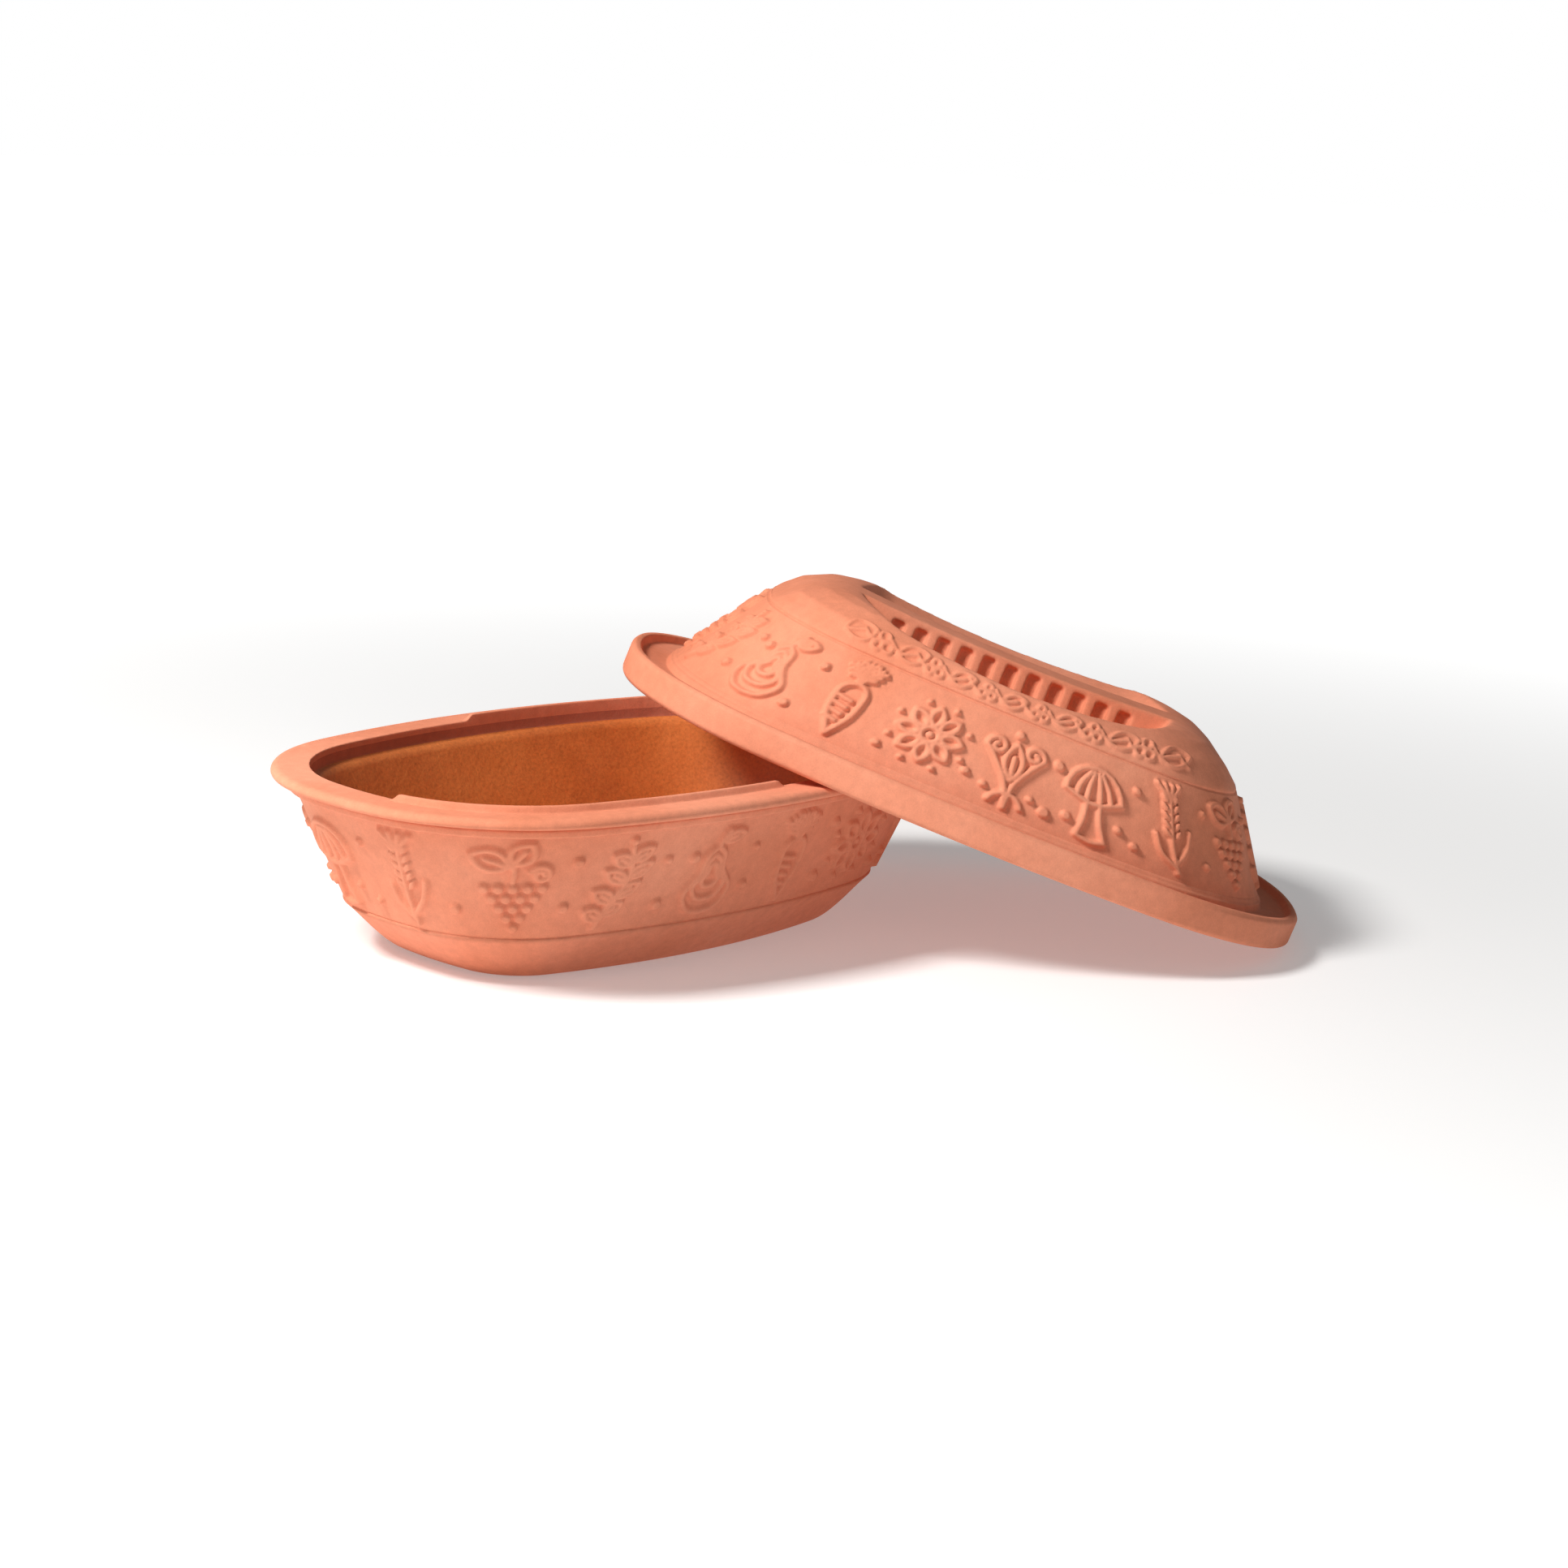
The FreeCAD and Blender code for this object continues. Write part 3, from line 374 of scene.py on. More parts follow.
# %% [markdown]
# ## The dish's section
# From the flat foot the belly curves up to a fine incised line. Above it the wall leans out to a round
# bead, and the flanged rim overhangs it with a hollow under its nose. Inside, a short collar drops from the
# rim to a step, and below that the glazed inside follows the outside at the thickness of the wall.

# %% Dish levels
DISH_HEIGHT = 86
FOOT = np.array((105.5, 56.0, 28.0))
WALL_FOOT = RIM - 34.1
LINE_HEIGHT, LINE_HALF, LINE_DEEP = 24.2, 0.8, 0.9
BEAD_LOW, BEAD_HIGH = 75.2, 80.4
FRIEZE_INSET = 11.7
DISH_WALL, DISH_FLOOR = 9.5, 9.0
COLLAR_INSET, COLLAR_DEEP = 18.0, 8.0


def belly(high, high_shape, low, low_shape, steps=14, bend=0.46):
    """Levels of a belly, from the flat up to the wall."""
    levels = []
    for number in range(steps + 1):
        turn = math.pi / 2 * (1 - number / steps)
        inset = (1 - math.cos(turn)) ** bend
        height = high + (low - high) * math.sin(turn)
        levels.append((height, *(high_shape * (1 - inset) + low_shape * inset)))
    return levels


below_frieze = belly(LINE_HEIGHT - LINE_HALF, WALL_FOOT, 0, FOOT)
below_frieze += softened([
    level(LINE_HEIGHT - LINE_HALF, WALL_FOOT), level(LINE_HEIGHT, WALL_FOOT, LINE_DEEP),
    level(LINE_HEIGHT + LINE_HALF, WALL_FOOT)], 0.5, 2)[1:]
rim_levels = softened([
    level(BEAD_LOW, RIM, FRIEZE_INSET), level(76.4, RIM, 7.9), level(79.2, RIM, 7.3),
    level(BEAD_HIGH, RIM, 8.4),
    level(81.4, RIM, 0.9), level(82.8, RIM), level(84.4, RIM, 0.4), level(85.5, RIM, 1.5),
    level(DISH_HEIGHT, RIM, 3.2), level(DISH_HEIGHT, RIM, 14.2),
    level(DISH_HEIGHT, RIM, 15.3), level(DISH_HEIGHT, RIM, 16.4), level(DISH_HEIGHT, RIM, COLLAR_INSET),
    level(DISH_HEIGHT - COLLAR_DEEP, RIM, COLLAR_INSET + 0.4),
    level(DISH_HEIGHT - COLLAR_DEEP - 1.2, RIM, FRIEZE_INSET + DISH_WALL)], 0.8, 3)
inner_belly = belly(LINE_HEIGHT, WALL_FOOT - DISH_WALL, DISH_FLOOR, FOOT)[::-1]
print("dish:", len(below_frieze), "levels below the frieze,", len(rim_levels), "at the rim")

# %% [markdown]
# ## The dish
# One grid runs from the middle of the foot up the outside, over the rim and down to the middle of the
# floor; only the frieze is left open, because it gets a much finer grid of its own. The two catches, low
# lips inside the rim that keep the lid from sliding, are raised from the same grid: where the rim's flat
# lies near their corners, its points are lifted by a smooth step.

# %% Dish form
CATCH_FOOT_INSET, CATCH_TOP_INSET, CATCH_HIGH = 14.0, 16.5, 3.0
CATCH_ENDS = ((-13.0, -8.0), (22.0, 27.0))
RED, BARE, GLAZED = 0, 1, 2


def smooth_step(value, low, high):
    """0 below low, 1 above high, and a smooth rise between."""
    share = np.clip((value - low) / (high - low), 0, 1)
    return share * share * (3 - 2 * share)


def raise_catches(points, rows):
    """Lift the inner part of the rim's flat round two opposite corners."""
    for number, row in enumerate(rows):
        inset = RIM[0] - row[1]
        if row[0] < DISH_HEIGHT - 1.2 or inset < 13:
            continue
        lift = CATCH_HIGH * float(smooth_step(np.float64(inset), CATCH_FOOT_INSET, CATCH_TOP_INSET))
        for side in (-1, 1):
            x, y = side * points[number, :, 0], side * points[number, :, 1]
            points[number, :, 2] += lift * smooth_step(x, *CATCH_ENDS[0]) * smooth_step(y, *CATCH_ENDS[1])
    return points


low_rows = [ring(one) for one in below_frieze]
skin_object("dish_foot", skin_points(low_rows, rim_shares), [red_clay], close=("first",))
high_rows = rows_between(rim_levels, 3.0)
inside_rows = rows_between([rim_levels[-1], *inner_belly], 3.2)[1:]
all_rows = high_rows + inside_rows
in_collar = [row[0] < DISH_HEIGHT - 1.5 and RIM[0] - row[1] > 17 for row in all_rows]
row_slots = np.where(in_collar, BARE, RED)
row_slots[len(high_rows) - 4:] = GLAZED
dish_form = skin_object("dish_form", raise_catches(skin_points(all_rows, rim_shares), all_rows),
                        [red_clay, bare_inside, amber_glaze], row_slots, close=("last",))
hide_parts("dish")
print("rows of red clay, bare clay and glaze:", np.bincount(row_slots).tolist())

# %% [markdown]
# ## Relief pressed into the walls
# The walls carry a band of ornament: ridges about three millimetres wide, as a carver cuts them into the
# mould. The motifs here are plain kitchen-garden ones of this lesson's own: wheat, grapes, leaves, roots
# and rosettes. Each is drawn with strokes and discs in millimetres, and the height of the clay at a point
# is found from how far it is from the nearest stroke. That gives ridges with soft shoulders, at any
# fineness of grid.

# %% Strokes and discs
def curve(*points, steps=7):
    """A smooth line through points."""
    p = np.array((points[0], *points, points[-1]), dtype=float)
    line = []
    for a, b, c, d in zip(p, p[1:], p[2:], p[3:]):
        for t in np.arange(steps) / steps:
            line.append(0.5 * (2 * b + (c - a) * t + (2 * a - 5 * b + 4 * c - d) * t * t
                               + (3 * b - 3 * c + d - a) * t ** 3))
    line.append(p[-1])
    return np.array(line)


def arc(x, y, radius, start, stop, radius_end=None, steps=None):
    """An arc in degrees, or a spiral where its radius changes."""
    radius_end = radius if radius_end is None else radius_end
    steps = steps or max(6, int(abs(stop - start) / 18))
    turn = np.radians(np.linspace(start, stop, steps + 1))
    r = np.linspace(radius, radius_end, steps + 1)
    return np.stack((x + r * np.cos(turn), y + r * np.sin(turn)), axis=1)


def leaf(x, y, aim, length, width, vein=True):
    """A pointed leaf's two edges and its vein, from its foot along an aim in degrees."""
    along = np.linspace(0, 1, 9)
    half = width / 2 * np.sin(math.pi * along) ** 0.8
    ahead = np.array((math.cos(math.radians(aim)), math.sin(math.radians(aim))))
    aside = np.array((-ahead[1], ahead[0]))
    spine = np.array((x, y)) + np.outer(along * length, ahead)
    edges = [spine + np.outer(half, aside), spine - np.outer(half, aside)]
    return edges + ([spine[1:6]] if vein else [])


def distance_to(line, s, t):
    """Distance of every point from a line of straight bits."""
    nearest = np.full(s.shape, 1e9)
    for (x0, y0), (x1, y1) in zip(line, line[1:]):
        dx, dy = x1 - x0, y1 - y0
        share = np.clip(((s - x0) * dx + (t - y0) * dy) / max(dx * dx + dy * dy, 1e-9), 0, 1)
        nearest = np.minimum(nearest, np.hypot(s - x0 - share * dx, t - y0 - share * dy))
    return nearest


print("a leaf has", len(leaf(0, 0, 90, 10, 4)), "strokes")

# %% [markdown]
# ## Eight motifs
# Each motif returns its strokes, its discs (x, y, radius) and its filled grains (a leaf's place, aim and
# size). They are about 40 mm tall and are scaled to the band that they stand in. The first four are an ear
# of wheat, grapes, a sprig and a pear.

# %% Motifs of field and tree
def wheat():
    """An ear of wheat with its beard and two blades."""
    strokes = [curve((1, -20), (-0.5, -8), (0, 12)), curve((0.6, -16), (6, -9), (9, 0)),
               curve((0.4, -18), (-6, -12), (-8, -4))]
    strokes += [curve((0, 13), (x * 0.5, 17), (x, 20.5)) for x in (-6, -2, 2, 6)]
    grains = [(side * 0.8, y, 90 - side * 32, 7, 3.4) for y in range(-5, 12, 4) for side in (-1, 1)]
    return strokes, [], grains


def grapes():
    """A bunch of grapes under a leaf, with a tendril."""
    discs = [((place - (row - 1) / 2) * 5.4, -18 + 4.6 * (row - 1), 2.3)
             for row in range(1, 6) for place in range(row)]
    strokes = [curve((0, 4), (0.5, 9), (-1, 14)), *leaf(-1, 11, 158, 14, 9), *leaf(0, 12, 52, 11, 8),
               arc(10, 7, 1, 0, 520, 4)]
    return strokes, discs, []


def sprig():
    """A bent twig with paired leaves."""
    strokes = [curve((-6, -20), (-1, -8), (3, 4), (1, 17))]
    for y, reach, x in ((-14, 9, -4), (-6, 11, -0.5), (3, 11, 2.5), (11, 9, 2.5)):
        strokes += leaf(x, y, 34, reach, 5) + leaf(x, y - 2, 152, reach, 5)
    return strokes, [(1, 19.5, 1.8)], []


def pear():
    """A pear cut open, with bands that follow its skin."""
    strokes = []
    for size in (1, 0.68, 0.36):
        right = curve((0, 12 * size), (4 * size, 8 * size), (5.5 * size, 0), (11 * size, -9 * size),
                      (7 * size, -17 * size), (0, -19 * size))
        strokes += [right, right * (-1, 1)]
    strokes += [curve((0, 12), (1, 16), (3, 19)), *leaf(1, 15, 10, 10, 5)]
    return strokes, [(-10, 8, 2.4)], []


print("a pear has", len(pear()[0]), "strokes")

# %% [markdown]
# ## Roots and ornaments
# The other four are a carrot, a rosette, a pair of scrolls and a mushroom. Round things between upright
# ones keep the band from looking like a row of posts.

# %% Motifs of root and ornament
def carrot():
    """A root with rings and a tuft of fronds."""
    strokes = [curve((-6, 3), (-5, -8), (0, -20)), curve((6, 3), (5, -8), (0, -20)), arc(0, 3, 6, 0, 180)]
    strokes += [np.array(((-5.4 + 0.28 * k, 1 - 4 * k), (1.5 - 0.4 * k, -0.5 - 4 * k))) for k in range(4)]
    for aim in (60, 90, 120):
        tip = np.array((math.cos(math.radians(aim)), math.sin(math.radians(aim)))) * 12
        strokes.append(np.array(((0, 9), (tip[0], 9 + tip[1]))))
        for share in (0.4, 0.7, 1.0):
            for side in (-1, 1):
                turn = math.radians(aim + side * 48)
                start = np.array((tip[0] * share * 0.8, 9 + tip[1] * share * 0.8))
                strokes.append(np.array((start, start + 3.6 * np.array((math.cos(turn), math.sin(turn))))))
    return strokes, [], []


def rosette():
    """A flower in a ring of dots."""
    strokes = [arc(0, 0, 4, 0, 360)]
    for aim in range(0, 360, 45):
        turn = math.radians(aim)
        strokes += leaf(4.6 * math.cos(turn), 4.6 * math.sin(turn), aim, 9.5, 5.6, vein=False)
    discs = [(0, 0, 1.9)] + [(17 * math.cos(math.radians(a)), 17 * math.sin(math.radians(a)), 1.5)
                             for a in range(22, 382, 45)]
    return strokes, discs, []


def scrolls():
    """Two scrolls that grow from one foot, with a bud between."""
    one = np.concatenate((curve((0, -20), (2, -8), (8, 2), (13, 8))[:-1], arc(8.5, 9, 4.8, -10, 430, 1)))
    strokes = [one, one * (-1, 1), *leaf(0, -6, 90, 18, 8), arc(0, -20, 7, 15, 165)]
    return strokes, [(0, 17, 2.2), (-10, -12, 1.8), (10, -12, 1.8)], []


def mushroom():
    """A mushroom with a ribbed cap."""
    cap = arc(0, 2, 13, 0, 180)
    strokes = [cap * (1, 1.05), curve((-13, 2), (0, -2), (13, 2)), curve((-3, -1), (-3.6, -10), (-6, -19)),
               curve((3, -1), (3.6, -10), (6, -19)), curve((-6, -19), (0, -20.5), (6, -19))]
    strokes += [curve((x * 0.35, 13), (x * 0.8, 7), (x, 1)) for x in (-8, -3, 3, 8)]
    return strokes, [(-11, -12, 2.3), (12, -10, 1.9)], []


MOTIFS = (wheat, grapes, sprig, pear, carrot, rosette, scrolls, mushroom)
print("motifs:", ", ".join(motif.__name__ for motif in MOTIFS))

# %% [markdown]
# ## The height of the clay
# A press raises the mould's ridges by about two millimetres. Where strokes cross, the higher one wins, as
# in a carved mould. Only the points near a motif are looked at, so that a fine grid stays quick.

# %% Pressing a motif
RIDGE_HALF, RIDGE_HIGH = 1.4, 2.1


def ridge(away, half=RIDGE_HALF):
    """How far a ridge rises, 0 to 1, at a distance from its stroke."""
    return 1 - smooth_step(away, half * 0.35, half * 1.5)


def dome(away, radius):
    """How far a round boss rises, 0 to 1, at a distance from its middle."""
    return 1 - smooth_step(away, radius - 0.9, radius + 0.5)


def press(height, s, t, motif, place, scale, tilt=0.0):
    """Raise the clay at points (s, t) by one motif, centred on a place."""
    strokes, discs, grains = motif()
    near = (np.abs(s - place[0]) < 26 * scale) & (np.abs(t - place[1]) < 24 * scale)
    turn = math.radians(tilt)
    x = ((s[near] - place[0]) * math.cos(turn) + (t[near] - place[1]) * math.sin(turn)) / scale
    y = ((t[near] - place[1]) * math.cos(turn) - (s[near] - place[0]) * math.sin(turn)) / scale
    raised = np.zeros(x.shape)
    for line in strokes:
        raised = np.maximum(raised, ridge(distance_to(line, x, y)))
    for cx, cy, radius in discs:
        raised = np.maximum(raised, dome(np.hypot(x - cx, y - cy), radius) * 1.05)
    for cx, cy, aim, length, width in grains:
        turn = math.radians(aim)
        u = ((x - cx) * math.cos(turn) + (y - cy) * math.sin(turn)) / length
        v = ((y - cy) * math.cos(turn) - (x - cx) * math.sin(turn)) / width
        inside = np.sin(math.pi * np.clip(u, 0, 1)) * 0.5 - np.abs(v)
        raised = np.maximum(raised, smooth_step(inside, -0.05, 0.3) * 1.1)
    height[near] = np.maximum(height[near], RIDGE_HIGH * raised)
    return height


print("a ridge is", 2 * RIDGE_HALF, "mm wide and", RIDGE_HIGH, "mm high")

# %% [markdown]
# ## The two friezes
# A wall is laid out flat in two directions, s the way round and t the way up, in millimetres. The motifs
# follow each other at even steps from the middle of the +X end, each a little tilted as by hand, with round
# bosses scattered between them. Then every point moves outward by its height, and the band fades out at
# both edges.

# %% Friezes
FRIEZE_COLUMNS, FRIEZE_STEP, MOTIF_PITCH = 1200, 0.72, 41
DRAWN_LARGER, LARGEST_SCALE = 1.1, 1.2
BOSS_ROWS, BOSS_CHANCE = (0.24, 0.74), 0.7


def wall_relief(s, t, wall_height, round_length, end_middle, scale, seed):
    """The height of the clay at each point of a wall that is laid out flat, and the number of motifs."""
    height = np.zeros(s.shape)
    chance = random.Random(seed)
    motif_count = int(round_length / (MOTIF_PITCH * scale))
    pitch = round_length / motif_count
    drawn_scale = min(scale * DRAWN_LARGER, LARGEST_SCALE)
    for number in range(motif_count):
        place = end_middle + pitch * (number + 0.5)
        motif = MOTIFS[number % len(MOTIFS)]
        for round_once in (0, -round_length):
            middle = (place + round_once, wall_height / 2)
            press(height, s, t, motif, middle, drawn_scale, chance.uniform(-4, 4))
        for high in BOSS_ROWS:
            if chance.random() < BOSS_CHANCE:
                boss_s = place + pitch / 2 + chance.uniform(-2, 2)
                boss_t = wall_height * (high + chance.uniform(-0.06, 0.06))
                round_way = (s - boss_s + round_length / 2) % round_length - round_length / 2
                boss = dome(np.hypot(round_way, t - boss_t), chance.uniform(2.0, 3.0))
                height = np.maximum(height, RIDGE_HIGH * boss)
    return height, motif_count


def frieze(low_level, high_level, scale, seed):
    """A finely divided wall with motifs all round, the first of them half a pitch from its end's middle."""
    middle = (ring(low_level) + ring(high_level)) / 2
    shares, round_length = even_shares(*middle[1:], FRIEZE_COLUMNS)
    rows = rows_between([low_level, high_level], FRIEZE_STEP)
    points = skin_points(rows, shares)
    wall_height = np.linalg.norm(points[-1, 0] - points[0, 0])
    s = np.tile(np.arange(FRIEZE_COLUMNS) / FRIEZE_COLUMNS * round_length, (len(rows), 1))
    t = np.linspace(0, wall_height, len(rows))[:, None] * np.ones((1, FRIEZE_COLUMNS))
    end_middle = np.interp(0.5, shares, s[0])
    height, motif_count = wall_relief(s, t, wall_height, round_length, end_middle, scale, seed)
    edge = smooth_step(t, 0.0, 1.5) * (1 - smooth_step(t, wall_height - 1.5, wall_height))
    across = np.roll(points, -1, axis=1) - np.roll(points, 1, axis=1)
    normal = np.cross(across, np.gradient(points, axis=0))
    normal /= np.linalg.norm(normal, axis=2, keepdims=True)
    points += normal * (height * edge)[:, :, None]
    print(motif_count, "motifs on a wall", round(float(wall_height), 1), "mm high")
    return points, round_length


dish_low = level(LINE_HEIGHT + LINE_HALF, WALL_FOOT)
dish_wall, dish_round = frieze(dish_low, level(BEAD_LOW, RIM, FRIEZE_INSET), 1.2, 4)
dish_frieze = skin_object("dish_frieze", dish_wall, [red_clay])
print("the dish's wall is", round(dish_round), "mm round")

# %% [markdown]
# ## Where the lid leans
# The lid is drawn level and then put in its place: lifted, turned on the ground, tipped along its length
# and rolled a little, so that its low end stands on the ground and its inner edge rests on the dish's rim.

# %% The lid's place
LEAN_TURN, LEAN_TIP, LEAN_ROLL = math.radians(-46.8), math.radians(19.734), math.radians(-2.74)
LEAN_PLACE = Vector((148.2, -82.8, 59.214))
lid_place = (Matrix.Translation(LEAN_PLACE * MM) @ Matrix.Rotation(LEAN_TURN, 4, "Z")
             @ Matrix.Rotation(LEAN_TIP, 4, "Y") @ Matrix.Rotation(LEAN_ROLL, 4, "X"))


def lean(piece):
    """Put a piece that was made level into the lid's place, in its own mesh."""
    piece.data.transform(lid_place)
    piece.data.update()
    return piece


print("the lid's middle stands at", [round(v, 3) for v in lid_place.translation])

# %% [markdown]
# ## The lid's section
# The lid has a broad rounded band, then a lip with a shallow channel inside it, a low plinth, and the wall
# with its frieze up to an incised line. Inside it is hollow, with an even wall. One grid starts in the
# middle of the ceiling, runs down the inside, under the rim and up the outside to the foot of the wall. The
# frieze and the incised line above it have grids of their own.

# %% Lid form
LID_RIM = RIM + 3
LID_FOOT = np.array((152.65, 101.0, 78.9))
LID_LINE = np.array((122.85, 90.6, 61.9))
LID_FOOT_HEIGHT, LID_LINE_HEIGHT, LID_LINE_HALF = 16.6, 60, 0.8
LID_WALL, LID_CEILING = 9.5, 43.0


def lid_wall(height, inset=0.0):
    """The outline of the lid's wall at a height."""
    share = (height - LID_FOOT_HEIGHT) / (LID_LINE_HEIGHT - LID_FOOT_HEIGHT)
    return level(height, LID_FOOT * (1 - share) + LID_LINE * share, inset)


lid_inside = [
    lid_wall(LID_CEILING, LID_WALL * 2 + 26), lid_wall(LID_CEILING, LID_WALL * 2),
    lid_wall(LID_CEILING - LID_WALL, LID_WALL), level(LID_FOOT_HEIGHT, LID_FOOT, LID_WALL),
    level(5, LID_RIM, 12), level(1.67, LID_RIM, 10.4), level(0, LID_RIM, 7), level(0, LID_RIM, 1.6),
    level(1.6, LID_RIM), level(13.4, LID_RIM), level(15.2, LID_RIM, 1.7), level(15.2, LID_RIM, 4.4),
    level(11.6, LID_RIM, 6.0), level(11.4, LID_FOOT, -3.6), level(14.4, LID_FOOT, -2.8),
    level(15.0, LID_FOOT, -1.6), level(16.2, LID_FOOT, -0.9), level(16.9, LID_FOOT, 0)]
lid_rows = rows_between(softened(lid_inside, 1.0, 3), 3.4)
lid_points = skin_points(lid_rows, rim_shares)
lid_form = lean(skin_object("lid_form", lid_points, [red_clay], close=("first",)))
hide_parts("lid")
below_line = LID_LINE_HEIGHT - LID_LINE_HALF
lid_side, lid_round = frieze(level(16.9, LID_FOOT), lid_wall(below_line), 1.0, 11)
lid_frieze = lean(skin_object("lid_frieze", lid_side, [red_clay]))
line_rows = softened([lid_wall(below_line), lid_wall(LID_LINE_HEIGHT, LINE_DEEP),
                      lid_wall(LID_LINE_HEIGHT + LID_LINE_HALF), lid_wall(61.6)], 0.5, 2)
lid_line = lean(skin_object("lid_line", skin_points(line_rows, rim_shares), [red_clay]))
print("the lid's wall is", round(lid_round), "mm round")

# %% [markdown]
# ## The lid's top, and a solid to start from
# Above the incised line the lid is a saddle between two humps, with a finger trough and a row of upright
# flutes on each long side. These shapes run into each other in ways that no stack of outlines can give, so
# this piece starts from the CAD solid. It is copied, laid level and cut off below the troughs. The handle's
# hollow, which is seen only from under the lid, is filled, because the clay between it and the flutes is
# too thin for the next step.

# %% Cutting the solid
HANDLE_FILL_MIDDLE, HANDLE_FILL_SIZE = Vector((0, 0, 57.1)), Vector((191.6, 25.4, 20.2))


def cut_above(mesh, height):
    """Keep what is above a height, in mm, close the cut, and fill the handle."""
    work = bmesh.new()
    work.from_mesh(mesh)
    bmesh.ops.remove_doubles(work, verts=work.verts[:], dist=0.00001)
    everything = work.verts[:] + work.edges[:] + work.faces[:]
    cut = bmesh.ops.bisect_plane(work, geom=everything, plane_co=(0, 0, height * MM), plane_no=(0, 0, 1),
                                 clear_inner=True)
    edges = [item for item in cut["geom_cut"] if isinstance(item, bmesh.types.BMEdge)]
    bmesh.ops.holes_fill(work, edges=edges)
    stretch = Matrix.Diagonal((*(HANDLE_FILL_SIZE * MM), 1))
    bmesh.ops.create_cube(work, size=1, matrix=Matrix.Translation(HANDLE_FILL_MIDDLE * MM) @ stretch)
    open_edges = sum(edge.is_boundary for edge in work.edges)
    print("cut solid:", len(work.verts), "points,", open_edges, "open edges")
    work.to_mesh(mesh)
    work.free()


def level_solid():
    """A copy of the lid's CAD solid, laid level."""
    mesh = bpy.data.meshes.new_from_object(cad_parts["lid"])
    mesh.transform(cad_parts["lid"].matrix_world)
    mesh.transform(lid_place.inverted())
    return mesh


print("the handle is filled with a block of", [round(v, 1) for v in HANDLE_FILL_SIZE], "mm")

# %% [markdown]
# ## Meeting the wall
# The humps of the solid end a little inside the wall, and the incised line has to run all round. So the
# skin is drawn out to the wall there, fully at the line and less and less up to a few millimetres above it.
# How far the wall stands out in a direction is read from its outline.

# %% Drawing the ends out
TOP_SHARES = np.linspace(0, 8, 241)[:-1]
END_SLOPE = 0.687


def mesh_points(mesh):
    """The places of a mesh's points in mm, one row for each."""
    points = np.zeros(len(mesh.vertices) * 3)
    mesh.vertices.foreach_get("co", points)
    return points.reshape(-1, 3) / MM


def move_points(mesh, points):
    """Give a mesh's points new places, in mm."""
    mesh.vertices.foreach_set("co", (points * MM).ravel())
    mesh.update()


def reach_of_wall(x, y, height):
    """How far the lid's wall stands from the middle axis at a height, in the direction of each point."""
    shape = outline(*lid_wall(height)[1:], TOP_SHARES)
    turns = np.arctan2(shape[:, 1], shape[:, 0])
    order = np.argsort(turns)
    reach = np.linalg.norm(shape, axis=1)[order]
    return np.interp(np.arctan2(y, x), turns[order], reach, period=2 * math.pi)


def fill_ends(mesh, height=61.0):
    """Bring the ends of the humps out to the wall, so that the incised line runs all round."""
    points = mesh_points(mesh)
    x, y, z = points.T
    away = np.hypot(x, y)
    gap = reach_of_wall(x, y, height) - END_SLOPE * (z - height) - away
    share = (1 - smooth_step(z, 60.5, 67.5)) * smooth_step(np.abs(x), 100, 108)
    near = (z > 50) & (z < 68) & (gap > 0) & (gap < 5)
    points[near, :2] *= (1 + gap * share / away)[near, None]
    move_points(mesh, points)


print("the wall's reach at the line, along X and Y:", [round(float(reach_of_wall(*way, 60)), 1)
                                                       for way in ((1, 0), (0, 1))])

# %% [markdown]
# ## A garland for the plain band
# Between the incised line and each trough lies a plain band, narrow in the middle and wider towards the
# humps. It gets a small garland: leaves and bunches of three berries in turn, joined by a twig, and larger
# where the band is wider. Here s runs along the band and t up from the line, and each point moves along its
# own normal.

# %% Garland
GARLAND_HIGH, GARLAND_HALF, GARLAND_PITCH, GARLAND_REACH = 1.25, 0.95, 13.2, 6


def garland_lines():
    """The strokes of the garland in the flat, in mm."""
    lines = []
    for number in range(-GARLAND_REACH, GARLAND_REACH + 1):
        x = number * GARLAND_PITCH
        grow = 1 + 0.55 * (x / 70) ** 2
        middle = 5.2 * grow
        if number % 2 == 0:
            lines += leaf(x - 5.5, middle - 1.8, 22, 12 * min(grow, 1.3), 6.6 * grow)
        else:
            lines += [arc(x + dx, middle + dy * grow, 1.7 * grow, 0, 360, steps=14)
                      for dx, dy in ((-2.4, -1.3), (2.4, -1.3), (0, 2.2))]
        lines.append(curve((x + 3.4, middle + 2.6), (x + 6.6, middle - 0.6), (x + 9.8, middle - 2.4)))
    return lines


def press_garland(mesh, line_height=61):
    """Press the garland into both long sides of the lid's top."""
    points = mesh_points(mesh)
    normals = np.zeros(points.size)
    mesh.vertex_normals.foreach_get("vector", normals)
    normals = normals.reshape(-1, 3)
    shape = outline(*lid_wall(line_height)[1:], TOP_SHARES)
    shape = shape[shape[:, 1] > 0]
    shape = shape[np.argsort(shape[:, 0])]
    for side in (-1, 1):
        s, y, z = -side * points[:, 0], side * points[:, 1], points[:, 2]
        t = np.hypot(z - line_height, np.interp(np.abs(s), shape[:, 0], shape[:, 1]) - y)
        where = np.flatnonzero((y > 55) & (np.abs(s) < 92) & (t < 22))
        raised = np.zeros(len(where))
        for line in garland_lines():
            raised = np.maximum(raised, ridge(distance_to(line, s[where], t[where]), GARLAND_HALF))
        points[where] += normals[where] * (GARLAND_HIGH * raised)[:, None]
    move_points(mesh, points)


print("the garland has", len(garland_lines()), "strokes on each side")

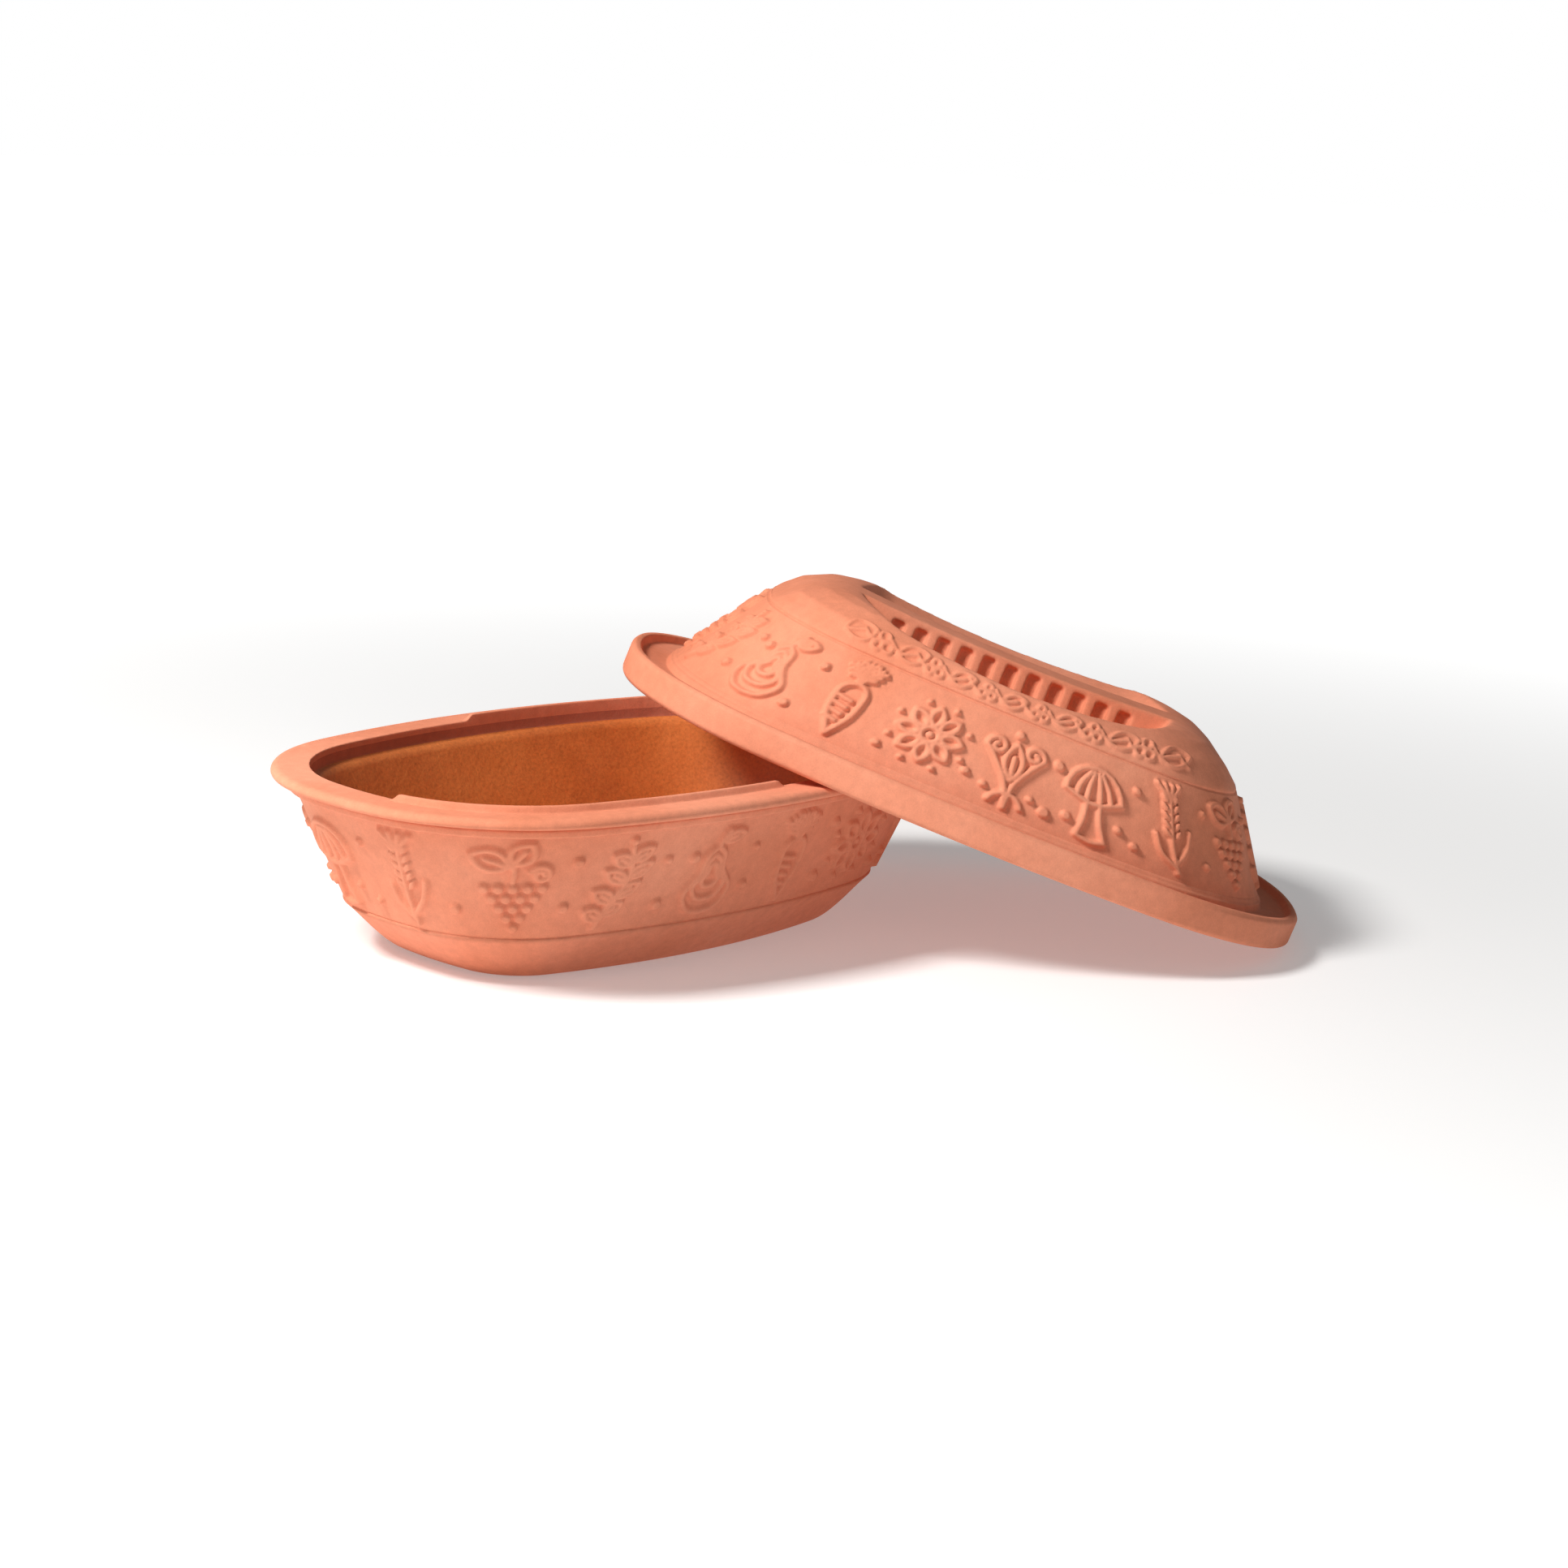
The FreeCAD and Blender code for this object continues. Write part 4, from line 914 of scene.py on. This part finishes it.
# %% [markdown]
# ## The skin of the lid's top
# The cut solid is rebuilt as an even skin of small squares (a voxel remesh), and relaxed a little so that
# its corners soften as pressed clay does. Then its ends are drawn out, what lies below the line on the
# outer wall goes, since the frieze is there, and the garland is pressed in. The troughs keep their floors
# below the line.

# %% Lid top
LOW_CUT, TOP_LINE, VOXEL, RELAX_TURNS, WALL_MARGIN = 48.0, 61.2, 0.85, 8, 1.3


def even_skin(top):
    """A remeshed and relaxed copy of an object's mesh."""
    remesh = top.modifiers.new("remesh", "REMESH")
    remesh.mode = "VOXEL"
    remesh.voxel_size = VOXEL * MM
    soften = top.modifiers.new("soften", "SMOOTH")
    soften.factor = 0.5
    soften.iterations = RELAX_TURNS
    evaluated = top.evaluated_get(bpy.context.evaluated_depsgraph_get())
    made = bpy.data.meshes.new_from_object(evaluated)
    top.modifiers.clear()
    return made


def is_spare(centre):
    """Whether a face, by its middle in mm, is part of the cut or of the outer wall below the line."""
    if centre.z < LOW_CUT + 1.5:
        return True
    reach = math.hypot(centre.x, centre.y)
    return centre.z < TOP_LINE and reach > reach_of_wall(centre.x, centre.y, centre.z) - WALL_MARGIN


def trim(mesh):
    """Split a mesh at the line, drop the spare faces and smooth the rest."""
    work = bmesh.new()
    work.from_mesh(mesh)
    bmesh.ops.bisect_plane(work, geom=work.verts[:] + work.edges[:] + work.faces[:],
                           plane_co=(0, 0, TOP_LINE * MM), plane_no=(0, 0, 1))
    spare = [face for face in work.faces if is_spare(face.calc_center_median() / MM)]
    bmesh.ops.delete(work, geom=spare, context="FACES")
    for face in work.faces:
        face.smooth = True
    work.to_mesh(mesh)
    work.free()


def lid_top_object():
    """The lid above its incised line, with its troughs, as an even and softened skin."""
    mesh = level_solid()
    cut_above(mesh, LOW_CUT)
    top = bpy.data.objects.new("lid_top", mesh)
    bpy.context.collection.objects.link(top)
    made = even_skin(top)
    top.data = made
    fill_ends(made)
    trim(made)
    press_garland(made)
    made.materials.clear()
    made.materials.append(red_clay)
    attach(top, "root")
    print("lid_top has", sum(len(face.vertices) - 2 for face in made.polygons), "triangles")
    return top


lid_top = lean(lid_top_object())

# %% [markdown]
# ## The floor
# The photo is a catalogue picture, white all round. A wide floor stands in for the studio's sheet of paper.
# Near the piece it is pale with a weak painted glow, takes light from the lamps and throws it up under the
# rims.
# Farther out its painted glow grows, until it is as white as what lies behind it and no edge shows.

# %% Floor
FLOOR_SIZE = 14.0
FLOOR_PAINTED_GLOW = (("From Min", 0.25), ("From Max", 1.6), ("To Min", 0.24), ("To Max", 0.97))


def floor_material():
    """A pale matt material with a painted glow that grows the farther it is from the middle."""
    material = bpy.data.materials.new("pale_floor_painted_glow")
    material.use_nodes = True
    nodes, links = material.node_tree.nodes, material.node_tree.links
    shader = nodes["Principled BSDF"]
    shader.inputs["Base Color"].default_value = (0.8, 0.8, 0.8, 1)
    shader.inputs["Roughness"].default_value = 0.9
    shader.inputs["Specular IOR Level"].default_value = 0.1
    shader.inputs["Emission Color"].default_value = (1, 1, 1, 1)
    place = nodes.new("ShaderNodeTexCoord")
    away = nodes.new("ShaderNodeVectorMath")
    away.operation = "LENGTH"
    # painted glow: emission that stands in for light on the floor, weak near the piece and strong far out
    glow = nodes.new("ShaderNodeMapRange")
    glow.interpolation_type = "SMOOTHSTEP"
    for socket, value in FLOOR_PAINTED_GLOW:
        glow.inputs[socket].default_value = value
    links.new(place.outputs["Object"], away.inputs[0])
    links.new(away.outputs["Value"], glow.inputs["Value"])
    links.new(glow.outputs["Result"], shader.inputs["Emission Strength"])
    return material


def floor_object():
    """A wide flat floor."""
    mesh = bpy.data.meshes.new("floor")
    half = FLOOR_SIZE / 2
    corners = [(-half, -half, 0), (half, -half, 0), (half, half, 0), (-half, half, 0)]
    mesh.from_pydata(corners, [], [(0, 1, 2, 3)])
    floor = bpy.data.objects.new("floor", mesh)
    bpy.context.collection.objects.link(floor)
    mesh.materials.append(floor_material())
    return floor


print("floor:", floor_object().name, FLOOR_SIZE, "m wide")

# %% [markdown]
# ## Light
# The light is soft. The main panel hangs to the upper left of the camera, so the left end of the dish and
# the near side of the lid are bright, and the dish's long side and the low end of the lid fall off. A low
# panel and one by the camera lift the darkest parts. The world is white where it is seen behind the piece,
# and gives little light.

# %% Lights and world
AIM = (0.05, -0.05, 0.05)
PANELS = (
    ("main_light", (-0.85, 0.12, 1.12), 0.35, 24, (1, 0.985, 0.965)),
    ("low_light", (-1.4, 0.05, 0.32), 0.6, 1.8, (1, 0.985, 0.97)),
    ("front_light", (-1.2, -1.0, 1.0), 1.0, 1.2, (1, 0.99, 0.98)))


def panel_light(name, place, size, power, colour):
    """A square light that faces the piece; its size is in metres and its power in watts."""
    data = bpy.data.lights.new(name, "AREA")
    data.size = size
    data.energy = power
    data.color = colour
    light = bpy.data.objects.new(name, data)
    light.location = place
    light.rotation_euler = (Vector(AIM) - Vector(place)).to_track_quat("-Z", "Y").to_euler()
    bpy.context.collection.objects.link(light)
    return light


def studio_world(seen, given):
    """A world that looks white behind the object and gives a weaker light on it."""
    world = bpy.data.worlds.new("studio")
    world.use_nodes = True
    nodes, links = world.node_tree.nodes, world.node_tree.links
    background = nodes["Background"]
    background.inputs["Color"].default_value = (1, 1, 1, 1)
    path = nodes.new("ShaderNodeLightPath")
    spread = nodes.new("ShaderNodeMapRange")
    spread.inputs["To Min"].default_value = given
    spread.inputs["To Max"].default_value = seen
    links.new(path.outputs["Is Camera Ray"], spread.inputs["Value"])
    links.new(spread.outputs["Result"], background.inputs["Strength"])
    bpy.context.scene.world = world


studio_world(seen=1.0, given=0.14)
bpy.context.scene.view_settings.view_transform = "Standard"
lights = [panel_light(*panel) for panel in PANELS]
print("lights:", [light.name for light in lights])
